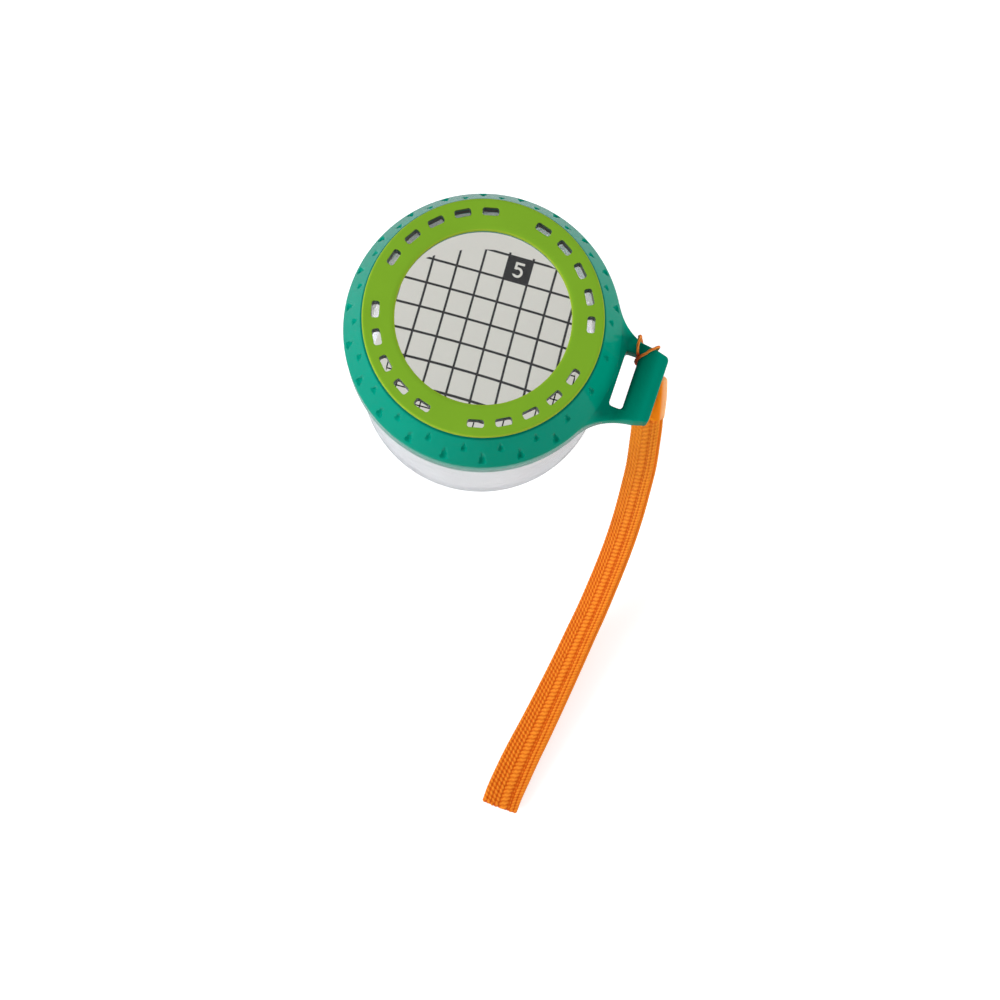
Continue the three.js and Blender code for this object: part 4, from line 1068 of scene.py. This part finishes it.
def figure_five(nodes, x, y):
    """Mask of a plain figure 5 in a unit cell: a top bar, a stem and an open bowl."""
    bar, stem = nodes.inside(x, y, *FIGURE_BAR), nodes.inside(x, y, *FIGURE_STEM)
    shifted = [nodes.maths("ADD", value, shift) for value, shift in zip((x, y), FIGURE_SHIFT)]
    squares = [nodes.maths("POWER", value, 2.0) for value in shifted]
    bowl = nodes.between(nodes.maths("SQRT", nodes.maths("ADD", *squares)), *FIGURE_BOWL)
    mouth = nodes.times(nodes.maths("LESS_THAN", x, FIGURE_SIDE), nodes.between(y, *FIGURE_MOUTH))
    return nodes.larger(nodes.larger(bar, stem), nodes.times(bowl, nodes.without(mouth)))


def grid_material(look):
    """Printed card: ink lines at the cell's pitch with an odd cell on the axis, cut off by a circle, and one
    inked cell with a bare figure; paper fibre in the tint and the bump."""
    material, nodes, shader, _ = new_material("printed_grid_card")
    place = nodes.place()
    fitted = nodes.add("Mapping", {
        "Vector": place, "Location": (0.0, GRID_SHIFT, 0.0), "Rotation": (0.0, 0.0, -look.turn),
        "Scale": (1 / look.cell, 1 / look.cell, 1.0),
    })[0]
    x, y, _ = nodes.add("SeparateXYZ", {0: fitted})
    half = look.line / look.cell / 2
    soft = half * LINE_SOFTNESS
    lines = []
    for value in (x, y):
        off = nodes.maths("SUBTRACT", nodes.maths("FLOORED_MODULO", value, 1.0), 0.5)
        lines.append(nodes.ranged(nodes.maths("ABSOLUTE", off), half + soft, half - soft))
    flat = nodes.add("VectorMath", {0: place, 1: (1.0, 1.0, 0.0)}, operation="MULTIPLY")[0]
    printed = nodes.maths("LESS_THAN", nodes.length(flat), look.reach)
    row = nodes.maths("SUBTRACT", y, LABEL_ROW)
    cell = nodes.inside(x, row, -0.5, 0.5, -0.5, 0.5)
    inked = nodes.times(cell, nodes.without(figure_five(nodes, x, row)))
    marks = nodes.larger(nodes.times(nodes.larger(*lines), printed), inked)
    top = nodes.maths("GREATER_THAN", nodes.add("SeparateXYZ", {0: place})[2], (CARD_TOP - PRINT_DEPTH) * MM)
    worn = nodes.ranged(nodes.noise(place, INK_SCALE), *INK_RUN)
    marks = nodes.times(nodes.times(marks, worn), top)
    fibre = nodes.noise(place, PAPER_SCALE, detail=3.0)
    paper = nodes.shaded(opaque(look.paper), nodes.varied(fibre, PAPER_SHADE, 1.0))
    nodes.feed(shader, {
        "Base Color": nodes.mixed(marks, paper, opaque(look.ink)), "Specular IOR Level": MATT_SPECULAR,
        "Roughness": nodes.maths("MULTIPLY_ADD", marks, *PAPER_GLOSS),
        "Normal": nodes.bump(fibre, strength=0.2, distance=0.00005),
    })
    return material


def add_camera(scene):
    """Camera of the photograph's view: a distance, azimuth, elevation and roll about a target point."""
    azimuth, elevation, roll = (math.radians(angle) for angle in CAMERA_ANGLES)
    level = math.cos(elevation)
    back = Vector((math.sin(azimuth) * level, -math.cos(azimuth) * level, math.sin(elevation)))
    right = Vector((math.cos(azimuth), math.sin(azimuth), 0.0))
    up = back.cross(right)
    turned_right = right * math.cos(roll) + up * math.sin(roll)
    turned_up = up * math.cos(roll) - right * math.sin(roll)
    data = bpy.data.cameras.new("photo_camera")
    data.sensor_width, data.lens = CAMERA_SENSOR, CAMERA_LENS
    data.clip_start, data.clip_end = CAMERA_CLIP
    matrix = Matrix((turned_right, turned_up, back)).transposed().to_4x4()
    matrix.translation = Vector(CAMERA_TARGET) + back * CAMERA_DISTANCE
    scene.camera = add_object("photo_camera", data)
    scene.camera.matrix_world = matrix


def add_floor(look):
    """Wide flat floor, matt, with its own light for rays that see it, stronger further out, so that it is
    white outside the shadow, and darker in reflections."""
    material, nodes, shader, output = new_material("floor_white")
    seen, mirrored = nodes.ray_masks()
    tone = nodes.mixed(mirrored, opaque(look.floor), FLOOR_MIRRORED)
    nodes.feed(shader, {"Base Color": tone, "Roughness": 1.0, "Specular IOR Level": 0.0})
    strength = nodes.times(seen, nodes.ranged(nodes.length(nodes.place()), *GLOW_RUN, look.glow, 1.0))
    glow = nodes.add("Emission", {"Strength": strength})[0]
    nodes.feed(output, {0: nodes.add("AddShader", {0: shader.outputs[0], 1: glow})[0]})
    mesh = bpy.data.meshes.new("floor")
    corners = [(x * FLOOR_HALF, y * FLOOR_HALF, FLOOR_LEVEL) for x, y in ((-1, -1), (1, -1), (1, 1), (-1, 1))]
    mesh.from_pydata(corners, [], [(0, 1, 2, 3)])
    mesh.materials.append(material)
    floor = add_object("floor", mesh)


def add_light(scene, look):
    """Even light from all round, white where it is seen, with bright walls and a dim ceiling in reflections,
    a large lamp from the left and weaker ones from the front and the right, all unseen in reflections."""
    world = bpy.data.worlds.new("white_room")
    world.use_nodes = True
    nodes = Nodes(world.node_tree)
    nodes.tree.nodes.clear()
    output = nodes.tree.nodes.new("ShaderNodeOutputWorld")
    seen, mirrored = nodes.ray_masks()
    height = nodes.add("SeparateXYZ", {0: nodes.add("TexCoord")["Generated"]})[2]
    room = nodes.ranged(height, *CEILING_RUN, look.walls - look.ambient, look.ceiling - look.ambient)
    strength = nodes.maths("MULTIPLY_ADD", mirrored, room, look.ambient)
    strength = nodes.maths("MULTIPLY_ADD", seen, 1 - look.ambient, strength)
    nodes.feed(output, {0: nodes.add("Background", {"Color": WHITE, "Strength": strength})[0]})
    scene.world = world
    for name, power, size, place, colour in LAMPS:
        data = bpy.data.lights.new(name, "AREA")
        data.energy, data.shape, data.size, data.color = getattr(look, power), "DISK", size, colour
        lamp = add_object(name, data)
        lamp.location = place
        lamp.rotation_euler = (-Vector(place)).to_track_quat("-Z", "Y").to_euler()
        lamp.visible_glossy = False


class BUGVIEWER_OT_stage(bpy.types.Operator):
    """Make the floor, the light and the camera"""

    bl_idname = "bug_viewer.stage"
    bl_label = "Make Stage"

    def execute(self, context):
        look = context.scene.bug_viewer_stage
        context.scene.view_settings.view_transform = "Standard"
        add_camera(context.scene)
        add_floor(look)
        add_light(context.scene, look)
        return {"FINISHED"}


class BUGVIEWER_OT_strap(bpy.types.Operator):
    """Make the wrist strap, the ferrule and the hitched cord"""

    bl_idname = "bug_viewer.strap"
    bl_label = "Make Strap and Cord"

    def execute(self, context):
        look = context.scene.bug_viewer_strap
        # The hollow colours of the braid and the cord are painted shade
        braid = fibre_material("orange_braid_fibre", look.orange, look.orange_dark)
        woven = strap_surface(look.stitch / MM)
        strap = make_piece(
            "strap_braid", woven, braid, "lid", "wrist_strap", BRAID_CREASE, "hollow"
        )
        depth = {"Subsurface Weight": 0.35, "Subsurface Radius": (1.0, 0.5, 0.2), "Subsurface Scale": 0.004}
        soft = plastic_material(
            "orange_soft_plastic", look.ferrule, look.ferrule_side, roughness=0.38, cloud=0.2, finish=depth
        )
        block = make_piece("strap_ferrule", ferrule_surface(), soft, "lid", "cord_ferrule")
        twist = fibre_material("orange_cord_fibre", look.cord, look.cord_dark)
        cord = make_piece(
            "lug_cord", cord_surface(), twist, "lid", "hitch_cord", CORD_CREASE, "hollow"
        )
        return {"FINISHED"}


class BUGVIEWER_OT_lid(bpy.types.Operator):
    """Make the screw lid and its strap lug"""

    bl_idname = "bug_viewer.lid"
    bl_label = "Make Lid"

    def execute(self, context):
        look = context.scene.bug_viewer_lid
        teal = plastic_material("teal_moulded_plastic", look.teal, look.teal, look.satin)
        make_piece("lid_shell", lid_surface(), teal, "lid", "lid")
        make_piece("strap_lug", lug_surface(), teal, "lid", "lid")
        return {"FINISHED"}


class BUGVIEWER_OT_ring(bpy.types.Operator):
    """Make the vent ring"""

    bl_idname = "bug_viewer.ring"
    bl_label = "Make Vent Ring"

    def execute(self, context):
        look = context.scene.bug_viewer_lid
        # The ring's edge colour is a painted highlight on its round edges
        green = plastic_material(
            "green_moulded_plastic", look.green, look.green_edge, look.satin, rim_share=0.8
        )
        make_piece("vent_ring_face", ring_surface(), green, "lid", "vent_ring")
        return {"FINISHED"}


class BUGVIEWER_OT_lens(bpy.types.Operator):
    """Make the magnifier lens"""

    bl_idname = "bug_viewer.lens"
    bl_label = "Make Lens"

    def execute(self, context):
        look = context.scene.bug_viewer_jar
        clear = clear_material(
            "lens_clear_plastic", WHITE[:3], through=(0.96, 0.97, 0.97), roughness=look.lens_haze
        )
        make_piece("lens_glass", lens_surface(), clear, "lens", "magnifier_lens", LENS_CREASE)
        return {"FINISHED"}


class BUGVIEWER_OT_jar(bpy.types.Operator):
    """Make the clear jar"""

    bl_idname = "bug_viewer.jar"
    bl_label = "Make Jar"

    def execute(self, context):
        look = context.scene.bug_viewer_jar
        clear = clear_material(
            "jar_clear_plastic", look.plastic, through=(0.93, 0.93, 0.94), roughness=look.haze,
            clearness=look.clearness, smear=0.08, wave=0.1,
        )
        make_piece("jar_wall", jar_surface(), clear, "jar", "jar")
        return {"FINISHED"}


class BUGVIEWER_OT_grid(bpy.types.Operator):
    """Make the printed grid card"""

    bl_idname = "bug_viewer.grid"
    bl_label = "Make Grid Card"

    def execute(self, context):
        printed = grid_material(context.scene.bug_viewer_grid)
        make_piece("measuring_card", card_surface(), printed, "jar", "grid_card")
        return {"FINISHED"}


SETTINGS = {
    "bug_viewer_stage": BugViewerStageLook,
    "bug_viewer_strap": BugViewerStrapLook,
    "bug_viewer_lid": BugViewerLidLook,
    "bug_viewer_jar": BugViewerJarLook,
    "bug_viewer_grid": BugViewerGridLook,
}
OPERATORS = (
    BUGVIEWER_OT_stage,
    BUGVIEWER_OT_strap,
    BUGVIEWER_OT_lid,
    BUGVIEWER_OT_ring,
    BUGVIEWER_OT_lens,
    BUGVIEWER_OT_jar,
    BUGVIEWER_OT_grid,
)


class BUGVIEWER_PT_panel(bpy.types.Panel):
    """Settings and steps of the bug viewer"""

    bl_label = "Bug Viewer"
    bl_space_type = "VIEW_3D"
    bl_region_type = "UI"
    bl_category = "Bug Viewer"

    def draw(self, context):
        for name, kind in SETTINGS.items():
            box = self.layout.box()
            for key in kind.__annotations__:
                box.prop(getattr(context.scene, name), key)
        for operator in OPERATORS:
            self.layout.operator(operator.bl_idname)


def register():
    """Registers the classes and puts the settings on the scene."""
    for kind in (*SETTINGS.values(), *OPERATORS, BUGVIEWER_PT_panel):
        bpy.utils.register_class(kind)
    for name, kind in SETTINGS.items():
        setattr(bpy.types.Scene, name, PointerProperty(type=kind))


def unregister():
    """Takes the settings off the scene and unregisters the classes."""
    for name in SETTINGS:
        delattr(bpy.types.Scene, name)
    for kind in reversed((*SETTINGS.values(), *OPERATORS, BUGVIEWER_PT_panel)):
        bpy.utils.unregister_class(kind)


def main():
    """Makes the stage and every piece."""
    register()
    bpy.ops.bug_viewer.stage()
    bpy.ops.bug_viewer.strap()
    bpy.ops.bug_viewer.lid()
    bpy.ops.bug_viewer.ring()
    bpy.ops.bug_viewer.lens()
    bpy.ops.bug_viewer.jar()
    bpy.ops.bug_viewer.grid()


if __name__ == "__main__":
    main()
